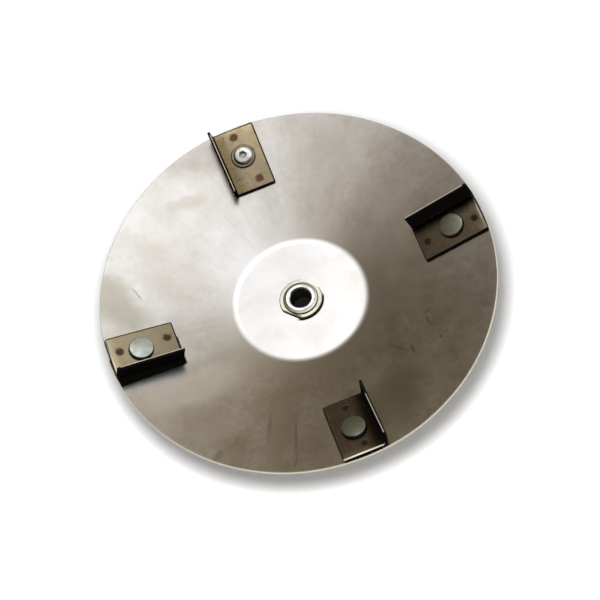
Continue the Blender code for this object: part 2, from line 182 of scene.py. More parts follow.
def calculate(operation, *values):
    """One Math node, and its result."""
    return follow("ShaderNodeMath", dict(enumerate(values)), operation=operation).outputs[0]


def times(first, second):
    """Product of two values."""
    return calculate("MULTIPLY", first, second)


def opposite(mask):
    """1 where a mask is 0, and 0 where it is 1."""
    return calculate("SUBTRACT", 1.0, mask)


def weighted(*layers):
    """Sum of several masks, each with its weight."""
    total = 0.0
    for mask, weight in layers:
        total = calculate("MULTIPLY_ADD", mask, weight, total)
    return total


def vector(operation, *values):
    """One Vector Math node, and its result, which is a number for a length, distance or dot product."""
    node = follow("ShaderNodeVectorMath", dict(enumerate(values)), operation=operation)
    gives_number = operation in ("LENGTH", "DISTANCE", "DOT_PRODUCT")
    return node.outputs["Value" if gives_number else "Vector"]


def scaled(direction, factor):
    """A vector times a number."""
    inputs = {0: direction, "Scale": factor}
    return follow("ShaderNodeVectorMath", inputs, operation="SCALE").outputs["Vector"]


def joined(*values):
    """A vector from up to three numbers."""
    return follow("ShaderNodeCombineXYZ", dict(enumerate(values))).outputs[0]


def spun(place, angle):
    """A point turned about the Z axis."""
    inputs = {"Vector": place, "Angle": angle}
    return follow("ShaderNodeVectorRotate", inputs, rotation_type="Z_AXIS").outputs[0]


print("nodes for sums are ready")

# %% Nodes for places, masks and colours
CENTRE = (0, 0, 0)
UP = (0, 0, 1)
LEVEL = (1, 1, 0)


def here(tree):
    """Where a point of the surface lies."""
    return put(tree, "ShaderNodeTexCoord", {}).outputs["Object"]


def from_axis(tree):
    """Distance of a point of the surface from the Z axis."""
    return vector("LENGTH", vector("MULTIPLY", here(tree), LEVEL))


def along_axis(tree, origin, axis):
    """How far a point of the surface lies from an origin, measured along an axis."""
    return vector("DOT_PRODUCT", vector("SUBTRACT", here(tree), origin), axis)


def towards(tree, axis):
    """1 on faces that look along an axis, 0 on faces that run along it, -1 on faces that look back."""
    normal = put(tree, "ShaderNodeNewGeometry", {}).outputs["Normal"]
    return vector("DOT_PRODUCT", normal, axis)


def facing(tree, axis):
    """1 on faces square to an axis, 0 on faces that run along it."""
    return calculate("ABSOLUTE", towards(tree, axis))


def noise(dimensions, **inputs):
    """One Noise Texture of 1 to 4 dimensions, and its value."""
    return follow("ShaderNodeTexNoise", inputs, noise_dimensions=f"{dimensions}D").outputs[0]


def ramp(value, low, high, bottom=0.0, top=1.0):
    """Soft step from bottom to top while the value goes from low to high."""
    inputs = {"Value": value, "From Min": low, "From Max": high, "To Min": bottom, "To Max": top}
    return follow("ShaderNodeMapRange", inputs, interpolation_type="SMOOTHSTEP").outputs["Result"]


def band(value, low, high, soft):
    """1 between two values, with soft ends outside them."""
    rising = ramp(value, low - soft, low)
    return times(rising, ramp(value, high, high + soft, 1.0, 0.0))


def tint(mask, under, over):
    """Lays one colour over another through a mask."""
    inputs = {0: mask}
    for index, colour in ((6, under), (7, over)):
        inputs[index] = colour if isinstance(colour, bpy.types.NodeSocket) else (*colour, 1.0)
    return follow("ShaderNodeMix", inputs, data_type="RGBA").outputs[2]


def stained(colour, stain, mask, strength):
    """Lays a stain over a colour through a mask, at a share of its full strength."""
    return tint(times(mask, strength), colour, stain)


print("nodes for places, masks and colours are ready")

# %% [markdown]
# ## Effects that finishes are made of
#
# Steel that has been handled shows the same few things everywhere: clouds of stain, streaks left by rolling
# and wiping, fine scratches, bright worn edges and, on turned work, rings from the tool. Shade in the corners
# is painted in as well, from ambient occlusion. Each is a node group with its own inputs, made once. A group
# gives out only a mask or a height, and the finishes decide what to do with it.

# %% Open, close and use a node group


def new_effect(name, output="Mask", **inputs):
    """A node group with these inputs and one output: the group, and what it is given."""
    group = bpy.data.node_groups.new(name, "ShaderNodeTree")
    for label, value in inputs.items():
        socket = group.interface.new_socket(label, in_out="INPUT", socket_type="NodeSocketFloat")
        socket.default_value = value
    group.interface.new_socket(output, in_out="OUTPUT", socket_type="NodeSocketFloat")
    return group, group.nodes.new("NodeGroupInput").outputs


def give_out(group, value):
    """Sends a value to a group's output, and gives the group."""
    group.links.new(value, group.nodes.new("NodeGroupOutput").inputs[0])
    print("shared effect:", group.name)
    return group


def effect(tree, group, **inputs):
    """Places a node group in a finish with its own values, and gives its output."""
    return put(tree, "ShaderNodeGroup", inputs, node_tree=group).outputs[0]


print("node groups can be made")

# %% Clouds of stain


def stain_clouds():
    group, given = new_effect("stain_clouds", Size=0.03, Seed=0.0, Low=0.4, High=0.7, Detail=4.0)
    density = calculate("DIVIDE", 1.0, given["Size"])
    form = {"Scale": density, "Detail": given["Detail"], "Roughness": 0.55}
    cloud = noise(4, Vector=here(group), W=given["Seed"], **form)
    return give_out(group, ramp(cloud, given["Low"], given["High"]))


CLOUDS = stain_clouds()

# %% Streaks that run outwards from the hub


def radial_streaks():
    group, given = new_effect("radial_streaks", Around=6.0, Along=8.0, Seed=0.0, Low=0.4, High=0.7)
    bearing = vector("NORMALIZE", vector("MULTIPLY", here(group), LEVEL))
    run = times(from_axis(group), given["Along"])
    polar = vector("ADD", scaled(bearing, given["Around"]), joined(0.0, 0.0, run))
    streak = noise(4, Vector=polar, W=given["Seed"], Scale=1.0, Detail=3.0, Roughness=0.5)
    return give_out(group, ramp(streak, given["Low"], given["High"]))


STREAKS = radial_streaks()

# %% Fine scratches, drawn as the thin contour lines of a stretched noise


def fine_scratches():
    sizes = {"Length": 0.04, "Pitch": 0.003, "Width": 0.01}
    group, given = new_effect("fine_scratches", Turn=0.0, Seed=0.0, **sizes)
    long_density = calculate("DIVIDE", 1.0, given["Length"])
    cross_density = calculate("DIVIDE", 1.0, given["Pitch"])
    stretch = joined(long_density, cross_density, long_density)
    drawn = vector("MULTIPLY", spun(here(group), given["Turn"]), stretch)
    value = noise(4, Vector=drawn, W=given["Seed"], Scale=1.0, Detail=1.0)
    contour = calculate("ABSOLUTE", calculate("SUBTRACT", value, 0.5))
    return give_out(group, ramp(contour, 0.0, given["Width"], 1.0, 0.0))


SCRATCHES = fine_scratches()

# %% Worn edges, found where a rounded normal leaves the true one


def worn_edges():
    group, given = new_effect("worn_edges", Radius=0.0006, Low=0.01, High=0.2)
    soft = put(group, "ShaderNodeBevel", {"Radius": given["Radius"]}, samples=6).outputs[0]
    leaves = opposite(towards(group, soft))
    return give_out(group, ramp(leaves, given["Low"], given["High"]))


WORN_EDGES = worn_edges()

# %% Painted shade where two pieces meet, found by ambient occlusion


def painted_corner_shade():
    group, given = new_effect("painted_corner_shade", Reach=0.004, Low=0.25, High=0.8)
    sky = put(group, "ShaderNodeAmbientOcclusion", {"Distance": given["Reach"]}, samples=8).outputs["AO"]
    return give_out(group, ramp(opposite(sky), given["Low"], given["High"]))


CORNER_SHADE = painted_corner_shade()

# %% Rings that a lathe tool leaves


def tool_rings():
    group, given = new_effect("tool_rings", output="Height", Pitch=0.0004, Seed=0.0)
    run = calculate("ADD", from_axis(group), along_axis(group, CENTRE, UP))
    turn = calculate("ADD", calculate("DIVIDE", run, given["Pitch"]), given["Seed"])
    return give_out(group, noise(1, W=turn, Scale=1.0, Detail=2.0))


TOOL_RINGS = tool_rings()

# %% A dark line at a radius


def ring_line():
    group, given = new_effect("ring_line", Radius=0.01, Width=0.0005)
    off = calculate("SUBTRACT", from_axis(group), given["Radius"])
    return give_out(group, ramp(calculate("ABSOLUTE", off), 0.0, given["Width"], 1.0, 0.0))


RING_LINE = ring_line()

# %% One mark at a place of its own, with a ruffled edge


def hand_mark():
    group, given = new_effect("hand_mark", X=0.0, Y=0.0, Turn=0.0, Length=0.02, Width=0.005, Ruffle=0.5)
    place = here(group)
    away = vector("SUBTRACT", place, joined(given["X"], given["Y"]))
    level_away = vector("MULTIPLY", away, LEVEL)
    aligned = spun(level_away, times(given["Turn"], -1.0))
    size = joined(given["Length"], given["Width"], 1.0)
    reach = vector("LENGTH", vector("DIVIDE", aligned, size))
    grain = noise(3, Vector=place, Scale=calculate("DIVIDE", 1.5, given["Width"]), Detail=3.0)
    ruffle = times(calculate("SUBTRACT", grain, 0.5), given["Ruffle"])
    return give_out(group, ramp(calculate("ADD", reach, ruffle), 0.2, 0.6, 1.0, 0.0))


HAND_MARK = hand_mark()


def mark(tree, x, y, turn, length, width):
    """Mask of one mark, from its place and size in millimetres and its turn in degrees."""
    sizes = {"Length": length * MM, "Width": width * MM}
    return effect(tree, HAND_MARK, X=x * MM, Y=y * MM, Turn=math.radians(turn), **sizes)


# %% [markdown]
# ## What every finish needs
#
# A finish starts as a bare Principled shader. At its end, it gets a colour, a share of bare metal, since
# soot and oil aren't metal, a roughness that follows one of its masks, and a fine grain. The grain is a
# bump and not real relief: it is far too small to show in an outline.

# %% Start and end of a finish


def new_finish(name, metallic=1.0):
    """A new material: itself, its tree and its Principled shader."""
    finish = bpy.data.materials.new(name)
    finish.use_nodes = True
    shader = finish.node_tree.nodes["Principled BSDF"]
    shader.inputs["Metallic"].default_value = metallic
    shader.inputs["Specular IOR Level"].default_value = 0.0
    return finish, finish.node_tree, shader


def link_finish(tree, shader, colour, bareness, mask, smoothest, rougher):
    """Links the colour, how bare the metal is, and a roughness that grows with a mask."""
    roughness = calculate("MULTIPLY_ADD", mask, rougher, smoothest)
    for label, value in (("Base Color", colour), ("Metallic", bareness), ("Roughness", roughness)):
        tree.links.new(value, shader.inputs[label])


def bump(tree, shader, height, strength, distance):
    """Lets a height ruffle the surface of a finish."""
    inputs = {"Height": height, "Strength": strength, "Distance": distance}
    tree.links.new(put(tree, "ShaderNodeBump", inputs).outputs[0], shader.inputs["Normal"])


def fine_grain(tree, shader, size, seed, strength, distance):
    """Ruffles the surface of a finish with grain of this size."""
    grain = effect(tree, CLOUDS, Size=size, Seed=seed, Low=0.2, High=0.8)
    bump(tree, shader, grain, strength, distance)


print("finishes can start")

# %% [markdown]
# ## Rolled steel of the disc
#
# The disc is bare rolled sheet, satin rather than polished. Light slides over it in broad soft patches,
# and what makes it look like steel and not like grey paint is that the patches are uneven: warm clouds,
# faint olive stain, streaks that run from the centre to the rim, and a few rubbed marks from handling.
# One cloud texture could give a rough idea of that. Several layers, each with its own size and colour,
# stay believable close up, and a short list of marks puts the ones that catch the eye where they are.

# %% Stains that cover the sheet
CLEAN_STEEL = (0.505, 0.49, 0.463)
WARM_STEEL = (0.468, 0.448, 0.41)
OLIVE_STAIN = (0.29, 0.265, 0.20)
BEIGE_STAIN = (0.33, 0.288, 0.228)
BROWN_SMUDGE = (0.20, 0.165, 0.125)
STREAKS_FROM = (FLAT_RADIUS, FLAT_RADIUS + 25 * MM)
# The side of the disc that is more stained, from where to where the stain grows along it, and how much
STAINED_SIDE = Vector((0.6, -0.8, 0))
STAINED_FROM = (-80 * MM, 80 * MM)
STAINED_SHARES = (0.7, 1.7)


def stained_sheet(tree, on_cone, small):
    """Colour of the sheet with its clouds, streaks, patches and fine grain."""
    broad = effect(tree, CLOUDS, Size=0.07, Seed=1.3, Low=0.3, High=0.72, Detail=1.5)
    wiped = effect(tree, STREAKS, Around=5.0, Along=5.0, Seed=2.6, Low=0.42, High=0.78)
    narrow = effect(tree, STREAKS, Around=16.0, Along=9.0, Seed=7.2, Low=0.45, High=0.85)
    hairlines = effect(tree, STREAKS, Around=55.0, Along=28.0, Seed=3.3, Low=0.4, High=0.75)
    specks = effect(tree, CLOUDS, Size=0.0035, Seed=5.5, Low=0.42, High=0.7, Detail=2.0)
    patches = effect(tree, CLOUDS, Size=0.035, Seed=6.6, Low=0.42, High=0.78, Detail=3.0)
    blotches = effect(tree, CLOUDS, Size=0.02, Seed=11.4, Low=0.46, High=0.7, Detail=2.5)
    side = ramp(along_axis(tree, CENTRE, STAINED_SIDE), *STAINED_FROM, *STAINED_SHARES)
    stained_cone = times(side, on_cone)
    colour = tint(broad, CLEAN_STEEL, WARM_STEEL)
    streaked = weighted((wiped, 0.2), (narrow, 0.16))
    colour = tint(times(streaked, on_cone), colour, OLIVE_STAIN)
    patchy = weighted((patches, 0.36), (blotches, 0.24))
    colour = tint(times(patchy, stained_cone), colour, BEIGE_STAIN)
    colour = stained(colour, BROWN_SMUDGE, small, 0.11)
    dusty = weighted((specks, 0.17), (hairlines, 0.05))
    return tint(times(dusty, stained_cone), colour, OLIVE_STAIN)


print(f"streaks begin {STREAKS_FROM[0] / MM:.1f} mm from the axis")

# %% Marks by hand, scratches and painted shade in corners
BRIGHT_WIPE = (0.66, 0.64, 0.60)
# Near black of the painted shade in the sheet's corners
DISC_SHADE_BLACK = (0.05, 0.045, 0.035)
# Each mark: colour, strength, place in X and Y in millimetres, turn in degrees, length and width
MARKS = {
    "thumb smudge": (BEIGE_STAIN, 0.5, -53, 106, -2, 34, 13),
    # The brown patch beside a vane darkens the sheet beside the second vane's flange
    "brown patch beside a vane": (BROWN_SMUDGE, 0.42, -34, 138, -12, 74, 36),
    "dull edge": (OLIVE_STAIN, 0.75, -132, 47, -66, 80, 36),
    "bright patch": (BRIGHT_WIPE, 0.5, -99, -42, 4, 90, 36),
    "left run": (BROWN_SMUDGE, 0.4, -57, -97, 66, 26, 3),
    "spot at the rim": (BROWN_SMUDGE, 0.45, -99, -106, 40, 14, 6),
    "curved scratch": (BROWN_SMUDGE, 0.5, -113.5, 47, -72, 17, 2),
    "scribble": (BROWN_SMUDGE, 0.62, 53, -72, -46, 22, 1.5),
    "end of scribble": (BROWN_SMUDGE, 0.7, 62, -78, -90, 9, 2.6),
    "tick": (BROWN_SMUDGE, 0.55, 80.4, -61, -86, 11, 1.8),
    "dash": (BROWN_SMUDGE, 0.65, 82, -54, 10, 5, 1.8),
    "dot": (BROWN_SMUDGE, 0.7, 84, -79, 0, 3, 2.6),
    "olive run": (OLIVE_STAIN, 0.5, -46, -96, 62, 80, 26),
    "brown run": (BROWN_SMUDGE, 0.55, -41, -111, 73, 34, 2.6),
    "run at the rim": (BROWN_SMUDGE, 0.4, -47, -131, 60, 14, 2.6),
    "short run": (OLIVE_STAIN, 0.5, -82, -98, 50, 16, 3),
    "pale wipe": (BRIGHT_WIPE, 0.16, 60, 78, 42, 110, 34),
    "warm cloud": (BEIGE_STAIN, 0.4, -84, 58, -60, 80, 56),
    "dull corner": (OLIVE_STAIN, 0.75, 34, -110, 20, 60, 44),
    "wiped side": (BRIGHT_WIPE, 0.26, 83, 16, 75, 110, 60),
}


def marked_sheet(tree, unmarked, upper_side):
    """The sheet's colour with the marks of its upper side, a few scratches and painted shade in corners."""
    colour = unmarked
    for stain, strength, *place in MARKS.values():
        colour = stained(colour, stain, mark(tree, *place), strength)
    colour = tint(upper_side, unmarked, colour)
    scratch = effect(tree, SCRATCHES, Turn=0.6, Length=0.05, Pitch=0.006, Width=0.006, Seed=3.0)
    rare = effect(tree, CLOUDS, Size=0.02, Seed=9.5, Low=0.6, High=0.72)
    colour = stained(colour, BROWN_SMUDGE, times(scratch, rare), 0.3)
    # Painted shade: the sheet goes dark where ambient occlusion finds it shut in
    shaded_corners = effect(tree, CORNER_SHADE, Reach=0.005, Low=0.35, High=0.9)
    return stained(colour, DISC_SHADE_BLACK, shaded_corners, 0.75)


print("the sheet has", len(MARKS), "marks by hand")

# %% [markdown]
# ## Painted shadows beside the hub and one vane
#
# The shadow that the hub's collar throws on the disc, and the shadow and reflection of one vane's flange
# beside it, are painted onto the steel as black. They change more than its colour: where they lie thick, the
# surface is no metal at all. The colour goes black before the metal fades, because half a metal over a pale
# colour would show grey. They lie on the upper side only, and a mask of the faces that look up keeps them
# there.

# %% Painted shadows, and the finish of the disc
# Near black of the painted shadows
PAINTED_SHADOW_BLACK = (0.002, 0.002, 0.0015)
RIM_STEEL = (0.42, 0.385, 0.30)
RIM_LINE = 0.5 * MM
# Painted shadow round the foot of the hub: radius, width, and the side on which it lies
HUB_SHADOW_RADIUS = 16.6 * MM
HUB_SHADOW_WIDTH = 1.5 * MM
HUB_SHADOW_SIDE = Vector((0.48, -0.88, 0))
HUB_SHADOW_FROM = (7 * MM, 13 * MM)
# Painted shadow and reflection at the foot of one vane's flange: how far out it reaches, how much further at
# the rim, how softly it ends, and from where to where along the vane it lies
SHADED_VANE = 3
VANE_SHADOW_TO = 21.8 * MM
VANE_SHADOW_SLANT = 0.09
VANE_SHADOW_SOFT = 2.6 * MM
VANE_SHADOW_ALONG = (-28 * MM, 25 * MM)
# Share of painted shadow at which the colour is all black and the metal starts to fade
SHADOW_BLACK_AT = 0.7


def painted_shadows(tree):
    """Mask of the painted shadow round the hub's foot and of the painted shadow and reflection beside one
    vane.
    """
    foot = effect(tree, RING_LINE, Radius=HUB_SHADOW_RADIUS, Width=HUB_SHADOW_WIDTH)
    hub_shadow = times(foot, ramp(along_axis(tree, CENTRE, HUB_SHADOW_SIDE), *HUB_SHADOW_FROM))
    station = stations[SHADED_VANE]
    ahead, aside, _ = station.to_3x3().col
    outwards = along_axis(tree, station.translation, aside - VANE_SHADOW_SLANT * ahead)
    vane_shadow = band(outwards, 0.0, VANE_SHADOW_TO, VANE_SHADOW_SOFT)
    along = band(along_axis(tree, station.translation, ahead), *VANE_SHADOW_ALONG, VANE_SHADOW_SOFT)
    return calculate("MAXIMUM", hub_shadow, times(vane_shadow, along))


def rolled_steel():
    """Finish of the disc."""
    finish, tree, shader = new_finish("rolled_steel")
    radius = from_axis(tree)
    upper_side = ramp(towards(tree, UP), -0.1, 0.1)
    small = effect(tree, CLOUDS, Size=0.018, Seed=4.1, Low=0.35, High=0.8, Detail=2.0)
    colour = stained_sheet(tree, ramp(radius, *STREAKS_FROM), small)
    colour = marked_sheet(tree, colour, upper_side)
    # Painted shadows of the hub and of one vane's flange, on the upper side only
    shadowed = times(painted_shadows(tree), upper_side)
    colour = tint(ramp(shadowed, 0.0, SHADOW_BLACK_AT), colour, PAINTED_SHADOW_BLACK)
    colour = tint(ramp(radius, RIM_RADIUS - RIM_LINE, RIM_RADIUS), colour, RIM_STEEL)
    bareness = ramp(shadowed, SHADOW_BLACK_AT, 1.0, 1.0, 0.0)
    link_finish(tree, shader, colour, bareness, small, smoothest=0.23, rougher=0.03)
    fine_grain(tree, shader, size=0.0012, seed=0.7, strength=0.002, distance=0.2 * MM)
    return finish


DISC_STEEL = rolled_steel()
print("made", DISC_STEEL.name, "with", len(DISC_STEEL.node_tree.nodes), "nodes")

# %% [markdown]
# ## Turned steel and zinc plate
#
# The hub is turned from bright bar, so its rings come from the lathe tool. Bolts, nuts and washers are zinc
# plated: a pale, slightly green metal that goes dull and spotty with use. Both share the stain group and the
# painted corner shade, with different sizes and strengths. The turned corners of the hub get painted shade,
# and since they all lie on circles, a line at a radius draws each of them.

# %% Finish of the hub
BRIGHT_BAR = (0.52, 0.51, 0.48)
HANDLED_BAR = (0.42, 0.40, 0.34)
GREASY_BAR = (0.41, 0.395, 0.31)
# Rusty dark colour: real dirt and rust specks, and also painted shade
RUSTY_DIRT_AND_SHADE = (0.05, 0.043, 0.022)
BORE_SHADE = (0.005, 0.005, 0.005)
# Radii between which grease begins outside the top ring, and the painted shade of the bore ends
GREASE_FROM = (11.05 * MM, 11.35 * MM)
BORE_EDGE = (7.95 * MM, 8.15 * MM)
# Each painted shade line in a turned corner: radius, width and strength
SHADE_LINES = {
    "under the top ring": (11.3 * MM, 0.3 * MM, 0.4),
    "round the neck": (13.1 * MM, 0.7 * MM, 0.95),
    "on the collar's edge": (16.0 * MM, 0.6 * MM, 0.6),
}
# Dirt on the collar beside a wrench flat: place in X and Y in millimetres, turn, length and width
FLAT_DIRT = ((-14.2, -6.6, 130, 9, 3.4), (-7.2, -12.2, 130, 12, 2.8))


def turned_steel():
    """Finish of the hub."""
    finish, tree, shader = new_finish("turned_steel")
    radius = from_axis(tree)
    stain = effect(tree, CLOUDS, Size=0.008, Seed=3.1, Low=0.42, High=0.72)
    # Painted shade in the hub's corners, from ambient occlusion
    shaded_corners = effect(tree, CORNER_SHADE, Reach=0.004, Low=0.3, High=0.85)
    colour = stained(BRIGHT_BAR, HANDLED_BAR, stain, 0.7)
    colour = stained(colour, RUSTY_DIRT_AND_SHADE, shaded_corners, 0.8)
    colour = tint(ramp(radius, *GREASE_FROM, 0.0, 0.9), colour, GREASY_BAR)
    # Painted shade lines in the turned corners
    for corner, width, strength in SHADE_LINES.values():
        line = effect(tree, RING_LINE, Radius=corner, Width=width)
        colour = stained(colour, RUSTY_DIRT_AND_SHADE, line, strength)
    for place in FLAT_DIRT:
        colour = stained(colour, RUSTY_DIRT_AND_SHADE, mark(tree, *place), 0.85)
    # Painted shade: walls that don't face up go nearly black and matte
    shaded_walls = ramp(facing(tree, UP), 0.3, 0.7, 0.95, 0.0)
    colour = tint(shaded_walls, colour, RUSTY_DIRT_AND_SHADE)
    # Painted shade: the bore is black inside
    in_bore = ramp(radius, *BORE_EDGE, 1.0, 0.0)
    colour = tint(in_bore, colour, BORE_SHADE)
    bareness = opposite(calculate("MAXIMUM", shaded_walls, in_bore))
    link_finish(tree, shader, colour, bareness, stain, smoothest=0.22, rougher=0.12)
    bump(tree, shader, effect(tree, TOOL_RINGS, Pitch=0.0004, Seed=1.0), 0.12, 0.1 * MM)
    return finish


HUB_STEEL = turned_steel()
print("made", HUB_STEEL.name, "with", len(HUB_STEEL.node_tree.nodes), "nodes")

# %% Finish of bolts, nuts and washers
FRESH_ZINC = (0.50, 0.55, 0.51)
DULL_ZINC = (0.40, 0.45, 0.40)
# Near black of painted shade on zinc
ZINC_SHADE = (0.008, 0.007, 0.006)


def zinc_plate(name, fresh, dull, wall_shade=0.0):
    """A zinc finish, with painted shade in its corners and, if asked for, on its walls."""
    finish, tree, shader = new_finish(name)
    worn = effect(tree, CLOUDS, Size=0.005, Seed=6.3, Low=0.38, High=0.70)
    specks = effect(tree, CLOUDS, Size=0.0018, Seed=8.8, Low=0.55, High=0.75)
    bright = effect(tree, WORN_EDGES, Radius=0.0005, Low=0.02, High=0.3)
    # Painted shade where ambient occlusion finds a corner shut in
    shaded_corners = effect(tree, CORNER_SHADE, Reach=0.003, Low=0.3, High=0.85)
    colour = tint(worn, fresh, dull)
    for stain, mask, strength in ((RUSTY_DIRT_AND_SHADE, specks, 0.25), (FRESH_ZINC, bright, 0.35), (ZINC_SHADE, shaded_corners, 0.85)):
        colour = stained(colour, stain, mask, strength)
    # Painted shade: walls that don't face up go dark and matte
    matte_dark = ramp(facing(tree, UP), 0.4, 0.75, wall_shade, 0.0)
    colour = tint(matte_dark, colour, ZINC_SHADE)
    link_finish(tree, shader, colour, opposite(matte_dark), worn, smoothest=0.30, rougher=0.12)
    fine_grain(tree, shader, size=0.0009, seed=1.9, strength=0.1, distance=0.1 * MM)
    return finish


ZINC = zinc_plate("zinc_plate", FRESH_ZINC, DULL_ZINC)
print("made", ZINC.name, "with", len(ZINC.node_tree.nodes), "nodes")

# %% Finish of the odd screw
BRIGHT_ZINC = (0.74, 0.75, 0.71)
# Dull olive zinc: stain on the flange, and painted shade there and in the socket
OLIVE_ZINC_AND_SHADE = (0.19, 0.18, 0.12)
# How far above the screw's flange its dull colour, stain and painted shade, starts and stops to fade
FLANGE_DULL_TO = (0.1 * MM, 0.4 * MM)


def screw_plate(name, origin, axis, flange_level, socket, socket_radius):
    """Bright zinc on the dome of a screw, with a flange dulled by stain and painted shade, and painted shade
    in its socket.
    """
    finish, tree, shader = new_finish(name)
    worn = effect(tree, CLOUDS, Size=0.004, Seed=2.2, Low=0.4, High=0.65)
    # Painted shade in corners
    shaded_corners = effect(tree, CORNER_SHADE, Reach=0.002, Low=0.4, High=0.9)
    colour = stained(BRIGHT_ZINC, DULL_ZINC, worn, 0.55)
    away = vector("DISTANCE", here(tree), socket)
    # Painted shade deep in the hex socket
    colour = tint(ramp(away, 0.85 * socket_radius, socket_radius, 0.8, 0.0), colour, OLIVE_ZINC_AND_SHADE)
    dull_from, dull_to = (flange_level + rise for rise in FLANGE_DULL_TO)
    flange = ramp(along_axis(tree, origin, axis), dull_from, dull_to, 1.0, 0.0)
    colour = tint(flange, colour, OLIVE_ZINC_AND_SHADE)
    colour = stained(colour, ZINC_SHADE, shaded_corners, 0.7)
    # Painted shade: the flange's walls go dark and matte
    matte_dark = times(flange, ramp(facing(tree, axis), 0.4, 0.75, 0.95, 0.0))
    colour = tint(matte_dark, colour, ZINC_SHADE)
    link_finish(tree, shader, colour, opposite(matte_dark), worn, smoothest=0.38, rougher=0.1)
    fine_grain(tree, shader, size=0.0009, seed=1.9, strength=0.1, distance=0.1 * MM)
    return finish


print("the screw's finish waits for the screw")

# %% [markdown]
# ## Small tools for meshes
#
# Most of this object is turned or bent, so two helpers carry the work. `rounded` takes the few corners
# of an outline and gives each its own radius, and `turned` sweeps an outline round the axis, with an
# optional function that reshapes each point, which is how threads and waves come in. Cuts are Booleans
# that are worked into the mesh at once. They can leave slivers, so what lies closer than a hundredth of a
# millimetre is welded after each cut, and what is left is one clean, closed mesh per piece.

# %% Outline helpers
ARC_STEPS = 6
SMALL_ARC_STEPS = 3


def rounded(corners, radii, closed=True, steps=ARC_STEPS):
    """The outline through these corners, each turned into an arc of its own radius."""
    corners = [Vector(corner) for corner in corners]
    outline = []
    for index, (corner, radius) in enumerate(zip(corners, radii)):
        inner = closed or 0 < index < len(corners) - 1
        if not inner or radius == 0:
            outline.append(corner)
            continue
        arriving = (corner - corners[index - 1]).normalized()
        leaving = (corners[(index + 1) % len(corners)] - corner).normalized()
        turn = math.atan2(arriving.cross(leaving), arriving.dot(leaving))
        side = math.copysign(1, turn)
        start = corner - arriving * radius * math.tan(abs(turn) / 2)
        centre = start + Vector((-arriving.y, arriving.x)) * radius * side
        first = start - centre
        for step in range(steps + 1):
            angle = math.atan2(first.y, first.x) + turn * step / steps
            outline.append(centre + radius * Vector((math.cos(angle), math.sin(angle))))
    return outline


def thickened(corners, thickness):
    """The corners of a sheet's lower face, from those of its upper face."""
    corners = [Vector(corner) for corner in corners]
    runs = [(after - before).normalized() for before, after in zip(corners, corners[1:])]
    normals = [Vector((-run.y, run.x)) for run in runs]
    lower = [corners[0] - normals[0] * thickness]
    for corner, before, after in zip(corners[1:], normals, normals[1:]):
        lower.append(corner - (before + after) * thickness / (1 + before.dot(after)))
    return [*lower, corners[-1] - normals[-1] * thickness]


def subdivided(outline, longest, closed=True):
    """The outline with its long runs cut into steps no longer than this."""
    outline = [Vector(point) for point in outline]
    ends = outline[1:] + outline[:1] if closed else outline[1:]
    points = []
    for start, end in zip(outline, ends):
        steps = max(1, math.ceil((end - start).length / longest))
        points += [start.lerp(end, step / steps) for step in range(steps)]
    return points if closed else [*points, outline[-1]]


print("outline helpers are ready")

# %% Solid helpers


def turned(outline, sides, ring, reshape=None):
    """Sweeps (radius, height) points round Z. A ring's outline is a loop, a solid's ends on the axis."""
    bm = bmesh.new()
    columns = []
    for side in range(sides):
        angle = math.tau * side / sides
        column = []
        for radius, height in outline:
            if reshape:
                radius, height = reshape(radius, height, angle)
            column.append(bm.verts.new((radius * math.cos(angle), radius * math.sin(angle), height)))
        columns.append(column)
    for near, far in zip(columns, columns[1:] + columns[:1]):
        for index in range(0 if ring else 1, len(near)):
            bm.faces.new((near[index - 1], near[index], far[index], far[index - 1]))
    bmesh.ops.remove_doubles(bm, verts=bm.verts, dist=WELD)
    return bm


def block(low, high):
    """A cutting block between two corners."""
    bm = bmesh.new()
    low, high = Vector(low), Vector(high)
    bmesh.ops.create_cube(bm, size=1)
    bmesh.ops.scale(bm, vec=high - low, verts=bm.verts)
    bmesh.ops.translate(bm, vec=(low + high) / 2, verts=bm.verts)
    return bm


def hexagon(flats, bottom, top):
    """A six-sided bar along Z, measured across its flats."""
    bm = bmesh.new()
    radius = flats / math.sqrt(3)
    middle = Matrix.Translation((0, 0, (bottom + top) / 2))
    bmesh.ops.create_cone(
        bm, cap_ends=True, segments=6, radius1=radius, radius2=radius, depth=top - bottom, matrix=middle
    )
    return bm


print("solid helpers are ready")

# %% Helpers that make, cut and dress a piece
SLIVER = 0.01 * MM
SHARP = math.radians(35)


def piece(name, bm, place=Matrix.Identity(4)):
    """An object from a bmesh, with its place worked into its points."""
    bm.transform(place)
    bmesh.ops.recalc_face_normals(bm, faces=bm.faces)
    if bm.calc_volume(signed=True) < 0:
        bmesh.ops.reverse_faces(bm, faces=bm.faces)
    mesh = bpy.data.meshes.new(name)
    bm.to_mesh(mesh)
    bm.free()
    obj = bpy.data.objects.new(name, mesh)
    bpy.context.scene.collection.objects.link(obj)
    return obj


def settle(obj):
    """Works an object's modifiers into its mesh, and welds the slivers that a cut leaves."""
    graph = bpy.context.evaluated_depsgraph_get()
    made = bpy.data.meshes.new_from_object(obj.evaluated_get(graph))
    bm = bmesh.new()
    bm.from_mesh(made)
    bmesh.ops.remove_doubles(bm, verts=bm.verts, dist=SLIVER)
    bmesh.ops.dissolve_degenerate(bm, dist=SLIVER, edges=bm.edges)
    bm.to_mesh(made)
    bm.free()
    obj.modifiers.clear()
    obj.data = made


def cut(target, tool, operation="DIFFERENCE"):
    """Cuts, joins or intersects the target with a tool, which is then removed."""
    boolean = target.modifiers.new("cut", "BOOLEAN")
    boolean.operation = operation
    boolean.solver = "EXACT"
    boolean.object = tool
    settle(target)
    bpy.data.objects.remove(tool)


